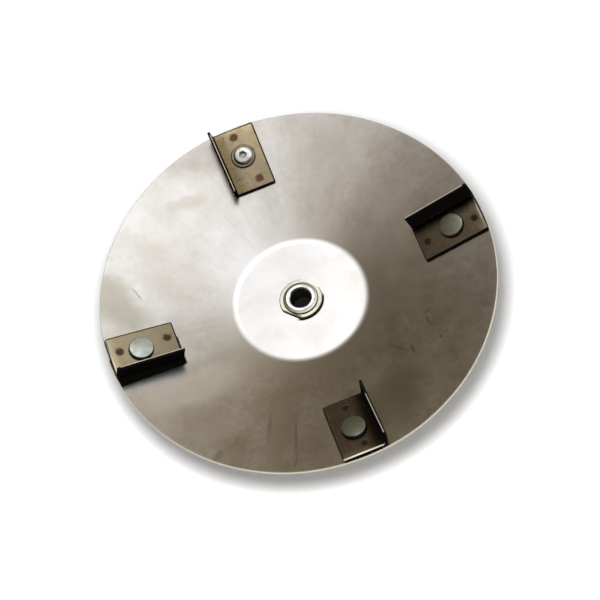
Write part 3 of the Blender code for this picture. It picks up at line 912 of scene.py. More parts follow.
def soften(obj, width, segments, angle):
    """Rounds the edges of a mesh that are sharper than an angle."""
    bevel = obj.modifiers.new("soften", "BEVEL")
    bevel.width = width
    bevel.segments = segments
    bevel.limit_method = "ANGLE"
    bevel.angle_limit = angle
    settle(obj)


def dress(obj, finish, node):
    """Gives a finished mesh its shading and its finish, and lets it stand for its node."""
    obj.data.materials.clear()
    obj.data.materials.append(finish)
    obj.data.shade_smooth()
    obj.data.set_sharp_from_angle(angle=SHARP)
    shading = obj.modifiers.new("even_shading", "WEIGHTED_NORMAL")
    shading.keep_sharp = True
    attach(obj, "root")
    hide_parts(node)
    print(f"{obj.name} stands for {node}: {len(obj.data.polygons)} faces")


print("pieces can be made, cut and dressed")

# %% [markdown]
# ## The disc
#
# A press turns flat sheet into the cone and leaves its centre flat, so the section has one thickness all
# along, one soft bend and a cut edge at the rim. The section is drawn from six corners and swept round
# the axis. Real sheet is never quite true, and the eye reads that in the highlights: the cone gets a
# few shallow waves, a fraction of a millimetre high, which die out at the centre and beside the vanes.

# %% Section of the sheet
BEND_INSIDE = 22 * MM
EDGE_ROUND = 0.35 * MM
HUB_HOLE = 12.3 * MM
CONE_STEP = 4 * MM
DISC_SIDES = 288

upper = [(HUB_HOLE, FLAT_TOP), (FLAT_RADIUS, FLAT_TOP), (RIM_RADIUS, RIM_TOP)]
upper_radii = [EDGE_ROUND, BEND_INSIDE, EDGE_ROUND]
lower_radii = [EDGE_ROUND, BEND_INSIDE + SHEET, EDGE_ROUND]
lower = thickened(upper, SHEET)
section = rounded(upper + lower[::-1], upper_radii + lower_radii[::-1])
section = subdivided(section, CONE_STEP)
print("section of the sheet:", len(section), "points")

# %% Waves in the sheet
WAVE_HEIGHT = 0.16 * MM
# Each train of waves: how many run round the disc, where they start, and their share of the height
WAVES = ((7, 0.4, 1.0), (12, 2.1, 0.7), (19, 4.0, 0.4))
WAVE_START = FLAT_RADIUS + 6 * MM
VANE_CALM = math.radians(17)


def calm(angle):
    """0 on the lines of the vanes, 1 well away from them."""
    spacing = math.tau / VANES
    off = abs((angle + spacing / 2) % spacing - spacing / 2)
    share = min(1, off / VANE_CALM)
    return share * share * (3 - 2 * share)


def wave(radius, height, angle):
    """Lifts a point of the cone by the waves that run round it."""
    share = min(1, max(0, (radius - WAVE_START) / (RIM_RADIUS - WAVE_START)))
    swing = sum(size * math.sin(lobes * angle + phase) for lobes, phase, size in WAVES)
    return radius, height + WAVE_HEIGHT * share * swing * calm(angle)


print(f"{len(WAVES)} trains of waves, of {WAVE_HEIGHT / MM:.2f} mm and less")

# %% Sweep the disc and cut the square holes for the bolts
SQUARE_HOLE_HALF = 4.4 * MM

disc = piece("disc_sheet", turned(section, DISC_SIDES, ring=True, reshape=wave))
for number, station in stations.items():
    low = (-SQUARE_HOLE_HALF, -SQUARE_HOLE_HALF, -SHEET - PAST)
    high = (SQUARE_HOLE_HALF, SQUARE_HOLE_HALF, PAST)
    cut(disc, piece(f"bolt_hole_{number}", block(low, high), station))
dress(disc, DISC_STEEL, "disc")

# %% [markdown]
# ## The hub
#
# The hub is a bush turned from bar. Its collar rests on the disc's flat centre and has two flats for a
# wrench, and a thin nut pulls it tight from below. The outline is a loop of corners. The thread is made
# by the reshape function: it pushes each point of the shank in and out along a helix, which costs no
# more than a longer list of rows. One slab trims both flats in a single cut, so they are sure to match.

# %% Outline of the hub
BORE = 8 * MM
BORE_CHAMFER = 0.8 * MM
SHANK = 12 * MM
SHANK_CHAMFER = 1 * MM
TOP_RING = 11 * MM
TOP_RING_RISE = 0.4 * MM
NECK = 13 * MM
NECK_BEVEL_DROP = 0.35 * MM
NECK_HEIGHT = 1.9 * MM
COLLAR_CHAMFER = 0.4 * MM
TURNED_EDGE = 0.12 * MM
HUB_SIDES = 128
COLLAR_TOP = HUB_TOP - NECK_HEIGHT
COLLAR_BOTTOM = FLAT_TOP + GAP
RING_FOOT = HUB_TOP - TOP_RING_RISE

hub_corners = [
    (BORE, HUB_TOP - BORE_CHAMFER),
    (BORE + BORE_CHAMFER, HUB_TOP),
    (TOP_RING, HUB_TOP),
    (TOP_RING, RING_FOOT),
    (NECK, RING_FOOT - NECK_BEVEL_DROP),
    (NECK, COLLAR_TOP),
    (COLLAR_RADIUS - COLLAR_CHAMFER, COLLAR_TOP),
    (COLLAR_RADIUS, COLLAR_TOP - COLLAR_CHAMFER),
    (COLLAR_RADIUS, COLLAR_BOTTOM),
    (SHANK, COLLAR_BOTTOM),
    (SHANK, FLOOR_LEVEL + SHANK_CHAMFER),
    (SHANK - SHANK_CHAMFER, FLOOR_LEVEL),
    (BORE + BORE_CHAMFER, FLOOR_LEVEL),
    (BORE, FLOOR_LEVEL + BORE_CHAMFER),
]
hub_radii = [TURNED_EDGE] * len(hub_corners)
hub_radii[hub_corners.index((SHANK, COLLAR_BOTTOM))] = 0
hub_outline = rounded(hub_corners, hub_radii, steps=SMALL_ARC_STEPS)
print("the hub's outline has", len(hub_corners), "corners")

# %% A thread that any shank can carry
THREAD_ROWS_PER_TURN = 8
THREAD_SHARE_AT_TIP = 0.5


def thread(radius_out, pitch, depth, bottom, top):
    """Reshape function that cuts a helical thread into a shank between two levels."""

    def reshape(radius, height, angle):
        if radius < radius_out - WELD or not bottom < height < top:
            return radius, height
        fade = min(1, (top - height) / pitch, (height - bottom) / pitch + THREAD_SHARE_AT_TIP)
        phase = (height / pitch + angle / math.tau) % 1
        return radius - depth * fade * abs(2 * phase - 1), height

    return reshape


def threaded_rows(outline, radius, pitch, closed):
    """The outline with its run at this radius cut into rows fine enough for a thread."""
    points = []
    ends = outline[1:] + outline[:1] if closed else outline[1:]
    for start, end in zip(outline, ends):
        on_shank = abs(start[0] - radius) < WELD and abs(end[0] - radius) < WELD
        if on_shank:
            points += subdivided([start, end], pitch / THREAD_ROWS_PER_TURN, closed=False)[:-1]
        else:
            points.append(Vector(start))
    return points if closed else [*points, Vector(outline[-1])]


HUB_PITCH = 1.5 * MM
HUB_THREAD_DEPTH = 0.8 * MM
hub_thread = thread(SHANK, HUB_PITCH, HUB_THREAD_DEPTH, FLOOR_LEVEL, washer_low.z)
hub_outline = threaded_rows(hub_outline, SHANK, HUB_PITCH, closed=True)
hub = piece("hub_turning", turned(hub_outline, HUB_SIDES, ring=True, reshape=hub_thread))
print("hub outline:", len(hub_outline), "points")

# %% Wrench flats
FLATS_AT = 14 * MM
FLATS_TURN = math.radians(42)

slab_half = COLLAR_RADIUS + PAST
slab = block((-FLATS_AT, -slab_half, FLOOR_LEVEL - PAST), (FLATS_AT, slab_half, HUB_TOP + PAST))
cut(hub, piece("wrench_slab", slab, Matrix.Rotation(FLATS_TURN, 4, "Z")), "INTERSECT")
dress(hub, HUB_STEEL, "hub_bush")

# %% [markdown]
# ## Washers and nuts
#
# A washer is a turned ring with its edges broken. A nut starts as a turned blank whose corners are
# coned off at 30 degrees, and a hexagonal bar then trims it, which leaves the curved edges that every
# real nut has. The lock nuts on the vane bolts also have a round collar below, for the locking ring.

# %% Washer and nut helpers
WASHER_EDGE = 0.25 * MM
NUT_FACE_STEP = 0.3 * MM
NUT_CHAMFER = math.radians(30)
NUT_MOUTH = 0.5 * MM
NUT_EDGE = 0.15 * MM
NUT_EDGE_ANGLE = math.radians(25)
NUT_EDGE_STEPS = 2


def washer(hole, outside, top, thickness, sides):
    """A flat ring with its edges broken."""
    corners = [(hole, top), (outside, top), (outside, top - thickness), (hole, top - thickness)]
    outline = rounded(corners, [WASHER_EDGE] * len(corners), steps=SMALL_ARC_STEPS)
    return turned(outline, sides, ring=True)


def hex_nut(name, hole, flats, top, bottom, collar, sides, place):
    """A nut between two levels. Its collar is a list of outline points below it, or empty."""
    face = flats / 2 - NUT_FACE_STEP
    outside = flats / math.sqrt(3) + PAST
    drop = (outside - face) * math.tan(NUT_CHAMFER)
    lowest = collar[-1][1] if collar else bottom
    outline = [
        (hole + NUT_MOUTH, top),
        (face, top),
        (outside, top - drop),
        (outside, bottom + drop),
        (face, bottom),
        *collar,
        (hole + NUT_MOUTH, lowest),
        (hole, lowest + NUT_MOUTH),
        (hole, top - NUT_MOUTH),
    ]
    nut = piece(name, turned(outline, sides, ring=True), place)
    cut(nut, piece(f"{name}_bar", hexagon(flats, lowest - PAST, top + PAST), place), "INTERSECT")
    soften(nut, NUT_EDGE, NUT_EDGE_STEPS, NUT_EDGE_ANGLE)
    return nut


print("washer and nut helpers are ready")

# %% Washer and nut under the hub
HUB_NUT_FLATS = 36 * MM
NUT_SIDES = 96

hub_washer = washer(HUB_HOLE, HUB_WASHER_RADIUS, washer_high.z, washer_high.z - washer_low.z, HUB_SIDES)
dress(piece("hub_washer_ring", hub_washer), ZINC, "hub_washer")
hub_nut = hex_nut(
    "hub_hex_nut", HUB_HOLE, HUB_NUT_FLATS, nut_high.z, nut_low.z, [], NUT_SIDES, Matrix.Identity(4)
)
dress(hub_nut, ZINC, "hub_nut")

# %% Washers and lock nuts under the vane bolts
BOLT = 4 * MM
BOLT_HOLE = BOLT + GAP
BOLT_WASHER_RADIUS = 8 * MM
LOCK_NUT_FLATS = 13 * MM
LOCK_NUT_HEIGHT = 6.5 * MM
LOCK_COLLAR = 5.8 * MM
LOCK_COLLAR_HEIGHT = 1.5 * MM
LOCK_COLLAR_CHAMFER = 0.75 * MM
BOLT_SIDES = 64

bolt_washer_top = -SHEET - GAP
lock_nut_top = bolt_washer_top - BOLT_WASHER - GAP
lock_nut_bottom = lock_nut_top - LOCK_NUT_HEIGHT
lock_nut_end = lock_nut_bottom - LOCK_COLLAR_HEIGHT
lock_collar = [
    (LOCK_COLLAR, lock_nut_bottom),
    (LOCK_COLLAR, lock_nut_end + LOCK_COLLAR_CHAMFER),
    (LOCK_COLLAR - LOCK_COLLAR_CHAMFER, lock_nut_end),
]
for number, station in stations.items():
    ring = washer(BOLT_HOLE, BOLT_WASHER_RADIUS, bolt_washer_top, BOLT_WASHER, BOLT_SIDES)
    dress(piece(f"bolt_washer_{number}", ring, station), ZINC, f"vane_washer_{number}")
    nut = hex_nut(
        f"bolt_lock_nut_{number}",
        BOLT_HOLE,
        LOCK_NUT_FLATS,
        lock_nut_top,
        lock_nut_bottom,
        lock_collar,
        BOLT_SIDES,
        station,
    )
    dress(nut, ZINC, f"vane_lock_nut_{number}")

# %% [markdown]
# ## The vanes
#
# Each vane is an angle bent from sheet: a flat base held by one bolt, and a flange that stands up and
# throws the material outwards. The base widens a little towards the rim, so the flange splays. The
# section is drawn from three corners, repeated along the vane, and closed at both ends. Corners are
# rounded next, then all edges, and last the bolt hole and the two spot weld dimples are cut. Each vane is
# made lying flat at the origin and moved to its bolt at the end, so all four come out alike.

# %% Section of a vane
VANE_SHEET = 2 * MM
VANE_BEND = 1.5 * MM
VANE_FLARE = 1.7 * MM
VANE_CORNER = 1.5 * MM
BOLT_TO_OUTER_END = 24.2 * MM
BOLT_TO_INNER_END = 28.4 * MM
BOLT_TO_FREE_EDGE = 16 * MM
BOLT_TO_FLANGE = 14.5 * MM
FLANGE_HEIGHT = 16 * MM
FLANGE_LEAN = math.radians(5)
FLANGE_CORNER = 1.5 * MM
END_BEVEL_RUN = 1.6 * MM
END_BEVEL_DROP = 0.7 * MM
FLANGE_RISE = FLANGE_HEIGHT - VANE_SHEET
VANE_LENGTH = BOLT_TO_INNER_END + BOLT_TO_OUTER_END

bolt_circle = stations[1].translation.x
inner_reach = bolt_circle - BOLT_TO_INNER_END * math.cos(SLOPE)
vane_half = BOLT_TO_FLANGE + VANE_FLARE + VANE_SHEET
BASE_BOTTOM = GAP + vane_half**2 * math.sin(SLOPE) / (2 * inner_reach)
BASE_TOP = BASE_BOTTOM + VANE_SHEET
print(f"a vane's base lies {BASE_BOTTOM / MM:.2f} mm above the cone at its bolt")


def vane_section(along):
    """Outline across a vane at this place along it."""
    share = (along + BOLT_TO_INNER_END) / VANE_LENGTH
    fold = BOLT_TO_FLANGE + VANE_FLARE * share
    upper = [
        (-BOLT_TO_FREE_EDGE, BASE_TOP),
        (fold, BASE_TOP),
        (fold + FLANGE_RISE * math.tan(FLANGE_LEAN), BASE_TOP + FLANGE_RISE),
    ]
    lower = thickened(upper, VANE_SHEET)
    top_side = rounded(upper, [0, VANE_BEND, 0], closed=False)
    under_side = rounded(lower, [0, VANE_BEND + VANE_SHEET, 0], closed=False)
    return top_side + under_side[::-1]


# %% Bend one vane
CORNER_STEPS = 5
VANE_EDGE = 0.5 * MM
VANE_EDGE_ANGLE = math.radians(50)
VANE_EDGE_STEPS = 3
VANE_ROWS = 8


def edge_between(first, second):
    """The edge that joins two points of a mesh."""
    return next(edge for edge in first.link_edges if second in edge.verts)


def vane_blank():
    """The bent angle with its outer end bevelled and its four corners rounded."""
    bm = bmesh.new()
    before_bevel = BOLT_TO_OUTER_END - END_BEVEL_RUN
    step = (before_bevel + BOLT_TO_INNER_END) / VANE_ROWS
    places = [-BOLT_TO_INNER_END + row * step for row in range(VANE_ROWS + 1)] + [BOLT_TO_OUTER_END]
    rows = []
    for along in places:
        rows.append([bm.verts.new((along, across, height)) for across, height in vane_section(along)])
    for near, far in zip(rows, rows[1:]):
        for index in range(len(near)):
            bm.faces.new((near[index - 1], near[index], far[index], far[index - 1]))
    ends = (rows[0], rows[-1])
    for row in ends:
        bm.faces.new(row)
    # The bevel of the outer end is full on the base, and fades out round the bend
    for index, vertex in enumerate(rows[-1][: ARC_STEPS + 1]):
        vertex.co.z -= END_BEVEL_DROP * min(1, (ARC_STEPS + 1 - index) / ARC_STEPS)
    top = len(rows[0]) // 2
    free_corners = [edge_between(row[0], row[-1]) for row in ends]
    flange_corners = [edge_between(row[top - 1], row[top]) for row in ends]
    for chosen, radius in ((free_corners, VANE_CORNER), (flange_corners, FLANGE_CORNER)):
        bmesh.ops.bevel(
            bm, geom=chosen, offset=radius, segments=CORNER_STEPS, profile=0.5, affect="EDGES"
        )
    return bm


print(f"a vane is {VANE_LENGTH / MM:.1f} mm long")

# %% [markdown]
# ## Heat tinted steel of the vanes
#
# The vanes are cut from sheet that still carries its brown mill scale, and each one was tacked to the disc
# with two spot welds, whose heat left a dark print with a straw coloured edge. The sheared edges and the
# faces of the flange are black, partly the darkest scale and partly painted shade and dark reflection, and
# the material thrown over the flange rubs its top edge bright. Beside the flange the base carries a painted
# reflection of it, and round the bolt head a painted shadow. All of this follows from where a point lies on
# the vane and which way it faces, so every vane gets a material of its own with its own axes and its own two
# spots. No two vanes have aged alike, so the amounts of scale, black and wear are listed vane by vane; the
# darker scale of vanes 1 and 4 is partly painted shade.

# %% Scale, rust, and painted reflection and shadow on a vane's base
DARK_SCALE = (0.135, 0.112, 0.08)
RUST = (0.12, 0.085, 0.045)
OLIVE_RUST = (0.11, 0.083, 0.036)
SCORCHED = (0.085, 0.057, 0.030)
# Near black of the scale, also used for painted shade and reflection
BLACK_SCALE_AND_SHADE = (0.004, 0.0035, 0.003)
TAN_SCALE = {
    1: (0.30, 0.25, 0.172),
    2: (0.38, 0.295, 0.17),
    3: (0.30, 0.25, 0.165),
    4: (0.30, 0.25, 0.172),
}
# Share of the dark scale that is left, whose high value on vanes 1 and 4 is partly painted shade, how much
# clouds change it, and how much more is at the inner end
DARK_SHARE_AND_SHADE = {1: 0.78, 2: 0.6, 3: 0.2, 4: 1.0}
DARK_CLOUDS = 0.1
DARK_SLANT = 0.18
# Painted reflection and shade of the flange on the base beside it, in a rusty colour on vanes 2 and 3: its
# colour, how much of it, and from where to where across it grows
SHADE_BESIDE_FLANGE = {
    1: (BLACK_SCALE_AND_SHADE, 0.97),
    2: (OLIVE_RUST, 0.75),
    3: (OLIVE_RUST, 0.15),
    4: (BLACK_SCALE_AND_SHADE, 0.9),
}
FLANGE_FADE = (2 * MM, 13 * MM)
# Scorched specks: how strong they are, and from where to where across they grow
SPECKS = {1: 0.3, 2: 0.75, 3: 0.3, 4: 0.3}
SPECK_FADE = (-4 * MM, 9 * MM)
# Painted shadow and dirt round the bolt head: where it fades and where it ends
HEAD_SHADOW_RING = (9.1 * MM, 10.2 * MM)


def scaled_base(tree, number, along, across, small):
    """Colour of a vane's base: tan and dark scale, rust, painted reflection of the flange, and painted shadow
    round the bolt.
    """
    broad = effect(tree, CLOUDS, Size=0.03, Seed=1.7 * number, Low=0.35, High=0.7)
    share = DARK_SHARE_AND_SHADE[number]
    clouded = ramp(broad, 0.0, 1.0, share - DARK_CLOUDS, share + DARK_CLOUDS)
    inner = ramp(along, -BOLT_TO_INNER_END, BOLT_TO_OUTER_END, DARK_SLANT, -DARK_SLANT)
    colour = tint(calculate("ADD", clouded, inner), TAN_SCALE[number], DARK_SCALE)
    colour = stained(colour, RUST, small, 0.2)
    # Painted reflection and shade of the flange on the base beside it
    flange_shade, amount = SHADE_BESIDE_FLANGE[number]
    colour = tint(ramp(across, *FLANGE_FADE, 0.0, amount), colour, flange_shade)
    dots = effect(tree, CLOUDS, Size=0.002, Seed=2.9, Low=0.54, High=0.66, Detail=2.0)
    specked = times(dots, ramp(across, *SPECK_FADE, 0.0, SPECKS[number]))
    colour = tint(specked, colour, SCORCHED)
    # Painted shadow and dirt in a ring round the bolt head
    from_bolt = vector("LENGTH", joined(along, across))
    return tint(ramp(from_bolt, *HEAD_SHADOW_RING, 0.85, 0.0), colour, BLACK_SCALE_AND_SHADE)


print("dark scale that is left on each vane:", DARK_SHARE_AND_SHADE)

# %% Black edges and rubbed strips
BARE_EDGE = (0.62, 0.565, 0.46)
# Black line along the sheared edges: where it fades and ends, and its width at the outer end
CUT_LINE = (0.7 * MM, 1.3 * MM)
OUTER_LINE = 0.6 * MM
# The flange's top edge: from and to, measured from its inner side, of the strip that is rubbed bare,
# how bare it is, and how black the rest is
FLANGE_EDGE_WEAR = {
    1: (0.9 * MM, 2.4 * MM, 0.8, 0.9),
    2: (-0.4 * MM, 0.5 * MM, 1.0, 1.0),
    3: (-0.4 * MM, 0.6 * MM, 1.0, 1.0),
    4: (-0.4 * MM, 0.6 * MM, 0.6, 0.5),
}
# How bare the base's outer end is rubbed
RUBBED_END = {1: 0.0, 2: 0.0, 3: 0.4, 4: 0.5}
# From where to where along the vane the flange's edge is rubbed
WHOLE_STRIP = (-27 * MM, 20.5 * MM)
STRIP_ALONG = {1: WHOLE_STRIP, 2: WHOLE_STRIP, 3: WHOLE_STRIP, 4: (-14 * MM, 24 * MM)}
STRIP_SOFT = 0.2 * MM
STRIP_END_SOFT = 1.5 * MM
SPLAY = VANE_FLARE / VANE_LENGTH
FLANGE_TOP = BASE_TOP + FLANGE_RISE
FLANGE_TOP_INNER = BOLT_TO_FLANGE + SPLAY * BOLT_TO_INNER_END + FLANGE_RISE * math.tan(FLANGE_LEAN)
# Levels near the flange's top between which the black of its edge and the bare strip begin
BLACK_TOP_FROM = (FLANGE_TOP - 1.0 * MM, FLANGE_TOP - 0.7 * MM)
BARE_TOP_FROM = (FLANGE_TOP - 0.6 * MM, FLANGE_TOP - 0.3 * MM)


def black_edges(number, along, across, height, flat):
    """Mask of the sheared edges of the base, of the flange's top and of every face that stands up."""
    free = ramp(calculate("ADD", across, BOLT_TO_FREE_EDGE), *CUT_LINE, 1.0, 0.0)
    inner = ramp(calculate("ADD", along, BOLT_TO_INNER_END), *CUT_LINE, 1.0, 0.0)
    outer = ramp(along, BOLT_TO_OUTER_END - OUTER_LINE, BOLT_TO_OUTER_END - 0.5 * OUTER_LINE)
    top = ramp(height, *BLACK_TOP_FROM)
    # Faces that stand up are painted black: partly dark scale, partly painted shade and dark reflection
    standing = times(ramp(flat, 0.6, 0.85, 1.0, 0.0), opposite(top))
    mask = times(top, FLANGE_EDGE_WEAR[number][3])
    for other in (free, inner, outer, standing):
        mask = calculate("MAXIMUM", mask, other)
    return mask


def rubbed_strips(tree, number, station, along, height):
    """Mask of the strips that the thrown material rubs bare: along the flange's top and the outer end."""
    ahead, aside, _ = station.to_3x3().col
    across_splay = along_axis(tree, station.translation, aside - SPLAY * ahead)
    beyond = calculate("SUBTRACT", across_splay, FLANGE_TOP_INNER)
    start, stop, bareness, _ = FLANGE_EDGE_WEAR[number]
    top = ramp(height, *BARE_TOP_FROM, 0.0, bareness)
    top = times(top, band(beyond, start, stop, STRIP_SOFT))
    top = times(top, band(along, *STRIP_ALONG[number], STRIP_END_SOFT))
    end = band(along, BOLT_TO_OUTER_END - END_BEVEL_RUN, BOLT_TO_OUTER_END - OUTER_LINE, STRIP_SOFT)
    low = ramp(height, BASE_TOP, BASE_TOP + 1 * MM, RUBBED_END[number], 0.0)
    return calculate("MAXIMUM", top, times(end, low))


print(f"the flange's top edge is {FLANGE_TOP / MM:.1f} mm above the cone at the bolt")

# %% Burnt spots, and the finish of one vane
BURNT = {
    1: (0.008, 0.005, 0.002),
    2: (0.05, 0.02, 0.006),
    3: (0.02, 0.009, 0.003),
    4: (0.006, 0.004, 0.002),
}
SPOT_BURN = {1: 0.95, 2: 0.7, 3: 0.85, 4: 0.95}
# Radius of a spot's print, where its edge begins and ends, radius of the scorched ring, and unevenness
SPOT_PRINT = 3.0 * MM
SPOT_EDGE = (0.75 * SPOT_PRINT, 1.15 * SPOT_PRINT)
SPOT_HALO = 4.4 * MM
SPOT_RUFFLE = 1.3 * MM


def spot_distance(tree, centre):
    """Distance to a spot weld, ruffled so that its print isn't a perfect round."""
    place = here(tree)
    grain = noise(3, Vector=place, Scale=350.0, Detail=3.0)
    ruffle = times(calculate("SUBTRACT", grain, 0.5), 2 * SPOT_RUFFLE)
    return calculate("ADD", vector("DISTANCE", place, centre), ruffle)


def heat_tinted_steel(number, station, spots):
    """Finish of one vane, in its own axes and with its own two spots."""
    finish, tree, shader = new_finish(f"heat_tinted_steel_{number}")
    axes = station.to_3x3().col
    along, across, height = (along_axis(tree, station.translation, axis) for axis in axes)
    small = effect(tree, CLOUDS, Size=0.005, Seed=5.4, Low=0.45, High=0.75)
    colour = scaled_base(tree, number, along, across, small)
    black = black_edges(number, along, across, height, facing(tree, axes[2]))
    matte_dark = black
    for centre in spots:
        away = spot_distance(tree, centre)
        colour = tint(ramp(away, SPOT_PRINT, SPOT_HALO, 0.5, 0.0), colour, SCORCHED)
        burnt = ramp(away, *SPOT_EDGE, SPOT_BURN[number], 0.0)
        colour = tint(burnt, colour, BURNT[number])
        matte_dark = calculate("MAXIMUM", matte_dark, burnt)
    colour = tint(black, colour, BLACK_SCALE_AND_SHADE)
    rubbed = rubbed_strips(tree, number, station, along, height)
    colour = tint(rubbed, colour, BARE_EDGE)
    bareness = calculate("MAXIMUM", opposite(matte_dark), rubbed)
    rough = weighted((small, 1.0), (matte_dark, 3.0))
    link_finish(tree, shader, colour, bareness, rough, smoothest=0.26, rougher=0.1)
    fine_grain(tree, shader, size=0.001, seed=3.7, strength=0.05, distance=0.2 * MM)
    print("made", finish.name, "with", len(tree.nodes), "nodes")
    return finish


# %% Spot weld dimples, and all four vanes
SPOT_RADIUS = 3 * MM
SPOT_DEPTH = 0.4 * MM
SPOT_SIDES = 40
SPOT_LENS_OVERSIZE = 1.3
# Each vane's two spots, in millimetres along and across from its bolt
OUTER_SPOTS = {1: (17.5, -3), 2: (17, 1.5), 3: (16, -2.5), 4: (15.5, 2.5)}
INNER_SPOTS = {1: (-21.5, -2), 2: (-21, -5.5), 3: (-21.5, -4), 4: (-20.5, 0)}


def spot_lens():
    """Lens that presses a shallow round dimple into a face at height 0."""
    ball = (SPOT_RADIUS**2 + SPOT_DEPTH**2) / (2 * SPOT_DEPTH)
    opening = SPOT_LENS_OVERSIZE * math.asin(SPOT_RADIUS / ball)
    bowl = []
    for step in range(ARC_STEPS + 1):
        angle = opening * (1 - step / ARC_STEPS)
        bowl.append((ball * math.sin(angle), ball - SPOT_DEPTH - ball * math.cos(angle)))
    return turned([(0, bowl[0][1]), *bowl], SPOT_SIDES, ring=False)


for number, station in stations.items():
    vane = piece(f"vane_plate_{number}", vane_blank())
    soften(vane, VANE_EDGE, VANE_EDGE_STEPS, VANE_EDGE_ANGLE)
    low = (-SQUARE_HOLE_HALF, -SQUARE_HOLE_HALF, BASE_BOTTOM - PAST)
    high = (SQUARE_HOLE_HALF, SQUARE_HOLE_HALF, BASE_TOP + PAST)
    cut(vane, piece(f"vane_hole_{number}", block(low, high)))
    spots = []
    for along, across in (OUTER_SPOTS[number], INNER_SPOTS[number]):
        seat = Matrix.Translation((along * MM, across * MM, BASE_TOP))
        cut(vane, piece("spot", spot_lens(), seat))
        spots.append(station @ seat.translation)
    vane.data.transform(station)
    dress(vane, heat_tinted_steel(number, station, spots), f"vane_{number}")

# %% [markdown]
# ## Bolts and the odd screw
#
# Three vanes are held by cup head bolts: a low crowned head on a square neck that can't turn in its
# hole. The fourth has a flanged button head screw with a hex socket, clearly a later replacement. The
# heads are turned outlines with soft edges, and the shanks carry a real thread down to their tips.

# %% The run below a head
HEAD_BOTTOM = BASE_TOP + GAP
BOLT_TIP = 2 * MM
BOLT_TIP_CHAMFER = 1 * MM
BOLT_END = lock_nut_end - BOLT_TIP
BOLT_PITCH = 1.25 * MM
BOLT_THREAD_DEPTH = 0.6 * MM
SQUARE_NECK_END = -SHEET / 2
SQUARE_NECK_HALF = 4.1 * MM

shank_corners = [
    (BOLT, HEAD_BOTTOM),
    (BOLT, BOLT_END + BOLT_TIP_CHAMFER),
    (BOLT - BOLT_TIP_CHAMFER, BOLT_END),
    (0, BOLT_END),
]
bolt_thread = thread(BOLT, BOLT_PITCH, BOLT_THREAD_DEPTH, BOLT_END, SQUARE_NECK_END - PAST)


def headed(name, head, station):
    """A bolt from the outline of its head and the common shank."""
    outline = [Vector(point) for point in [*head, *shank_corners]]
    rows = threaded_rows(outline, BOLT, BOLT_PITCH, closed=False)
    return piece(name, turned(rows, BOLT_SIDES, ring=False, reshape=bolt_thread), station)


print(f"a shank ends {-BOLT_END / MM:.1f} mm below the cone's upper face")

# %% Cup head bolts
CUP_RADIUS = 9.1 * MM
CUP_HEIGHT = 3.2 * MM
CUP_CROWN = 0.4 * MM
CUP_ROUND = 0.8 * MM
CROWN_STEPS = 8
SCREW_STATION = 2
# Share of painted shade on the walls of the cup heads
HEAD_WALL_SHADE = 0.97
# Fresh and dull colour of each cup head. Heads 1 and 4 get darker copies of the same zinc, which is painted
# shade.
SHADED_HEAD_ZINC = {
    1: ((0.26, 0.265, 0.20), (0.19, 0.195, 0.14)),
    3: ((0.40, 0.425, 0.38), (0.32, 0.345, 0.295)),
    4: ((0.24, 0.255, 0.20), (0.17, 0.18, 0.14)),
}

cup_top = HEAD_BOTTOM + CUP_HEIGHT
shoulder = cup_top - CUP_CROWN
crown_reach = CUP_RADIUS - CUP_ROUND


def crowned(reach, top, crown):
    """Points of a low crown, from the axis to just before its reach."""
    shares = [step / CROWN_STEPS for step in range(CROWN_STEPS)]
    return [(reach * share, top - crown * share**2) for share in shares]


cup_corners = [(crown_reach, shoulder), (CUP_RADIUS, shoulder), (CUP_RADIUS, HEAD_BOTTOM)]
cup_edge = rounded(cup_corners, [0, CUP_ROUND, 0], closed=False)
cup_head = [*crowned(crown_reach, cup_top, CUP_CROWN), *cup_edge[1:]]
for number, station in stations.items():
    if number == SCREW_STATION:
        continue
    bolt = headed(f"cup_bolt_{number}", cup_head, station)
    half = SQUARE_NECK_HALF
    neck = block((-half, -half, SQUARE_NECK_END), (half, half, (HEAD_BOTTOM + shoulder) / 2))
    cut(bolt, piece(f"square_neck_{number}", neck, station), "UNION")
    finish = zinc_plate(f"zinc_plate_head_{number}", *SHADED_HEAD_ZINC[number], HEAD_WALL_SHADE)
    dress(bolt, finish, f"cup_head_bolt_{number}")

# %% Flanged button head screw
DOME_RADIUS = 7.3 * MM
DOME_HEIGHT = 3 * MM
DOME_CROWN = 0.4 * MM
DOME_ROUND = 2.0 * MM
DOME_STEPS = 8
FLANGE_RADIUS = 9 * MM
FLANGE_THICKNESS = 1.3 * MM
FLANGE_EDGE = 0.4 * MM
SOCKET_FLATS = 5 * MM
SOCKET_DEPTH = 2.6 * MM
SOCKET_MOUTH = 0.3 * MM

flange_top = HEAD_BOTTOM + FLANGE_THICKNESS
dome_top = flange_top + DOME_HEIGHT
dome_reach = DOME_RADIUS - DOME_ROUND
dome = crowned(dome_reach, dome_top, DOME_CROWN)
for step in range(DOME_STEPS + 1):
    angle = math.pi / 2 * (1 - step / DOME_STEPS)
    rise = (DOME_HEIGHT - DOME_CROWN) * math.sin(angle)
    dome.append((dome_reach + DOME_ROUND * math.cos(angle), flange_top + rise))
rim_corners = [dome[-1], (FLANGE_RADIUS, flange_top), (FLANGE_RADIUS, HEAD_BOTTOM)]
rim = rounded(rim_corners, [0, FLANGE_EDGE, 0], closed=False)
station = stations[SCREW_STATION]
screw = headed(f"flanged_screw_{SCREW_STATION}", [*dome, *rim[1:]], station)
cut(screw, piece("screw_socket", hexagon(SOCKET_FLATS, dome_top - SOCKET_DEPTH, dome_top + PAST), station))
mouth_low = SOCKET_FLATS / 2
mouth_high = SOCKET_FLATS / math.sqrt(3) + SOCKET_MOUTH
mouth_bottom = dome_top - (mouth_high - mouth_low)
mouth_top = dome_top + PAST
mouth = [(0, mouth_top), (mouth_high + PAST, mouth_top), (mouth_low, mouth_bottom), (0, mouth_bottom)]
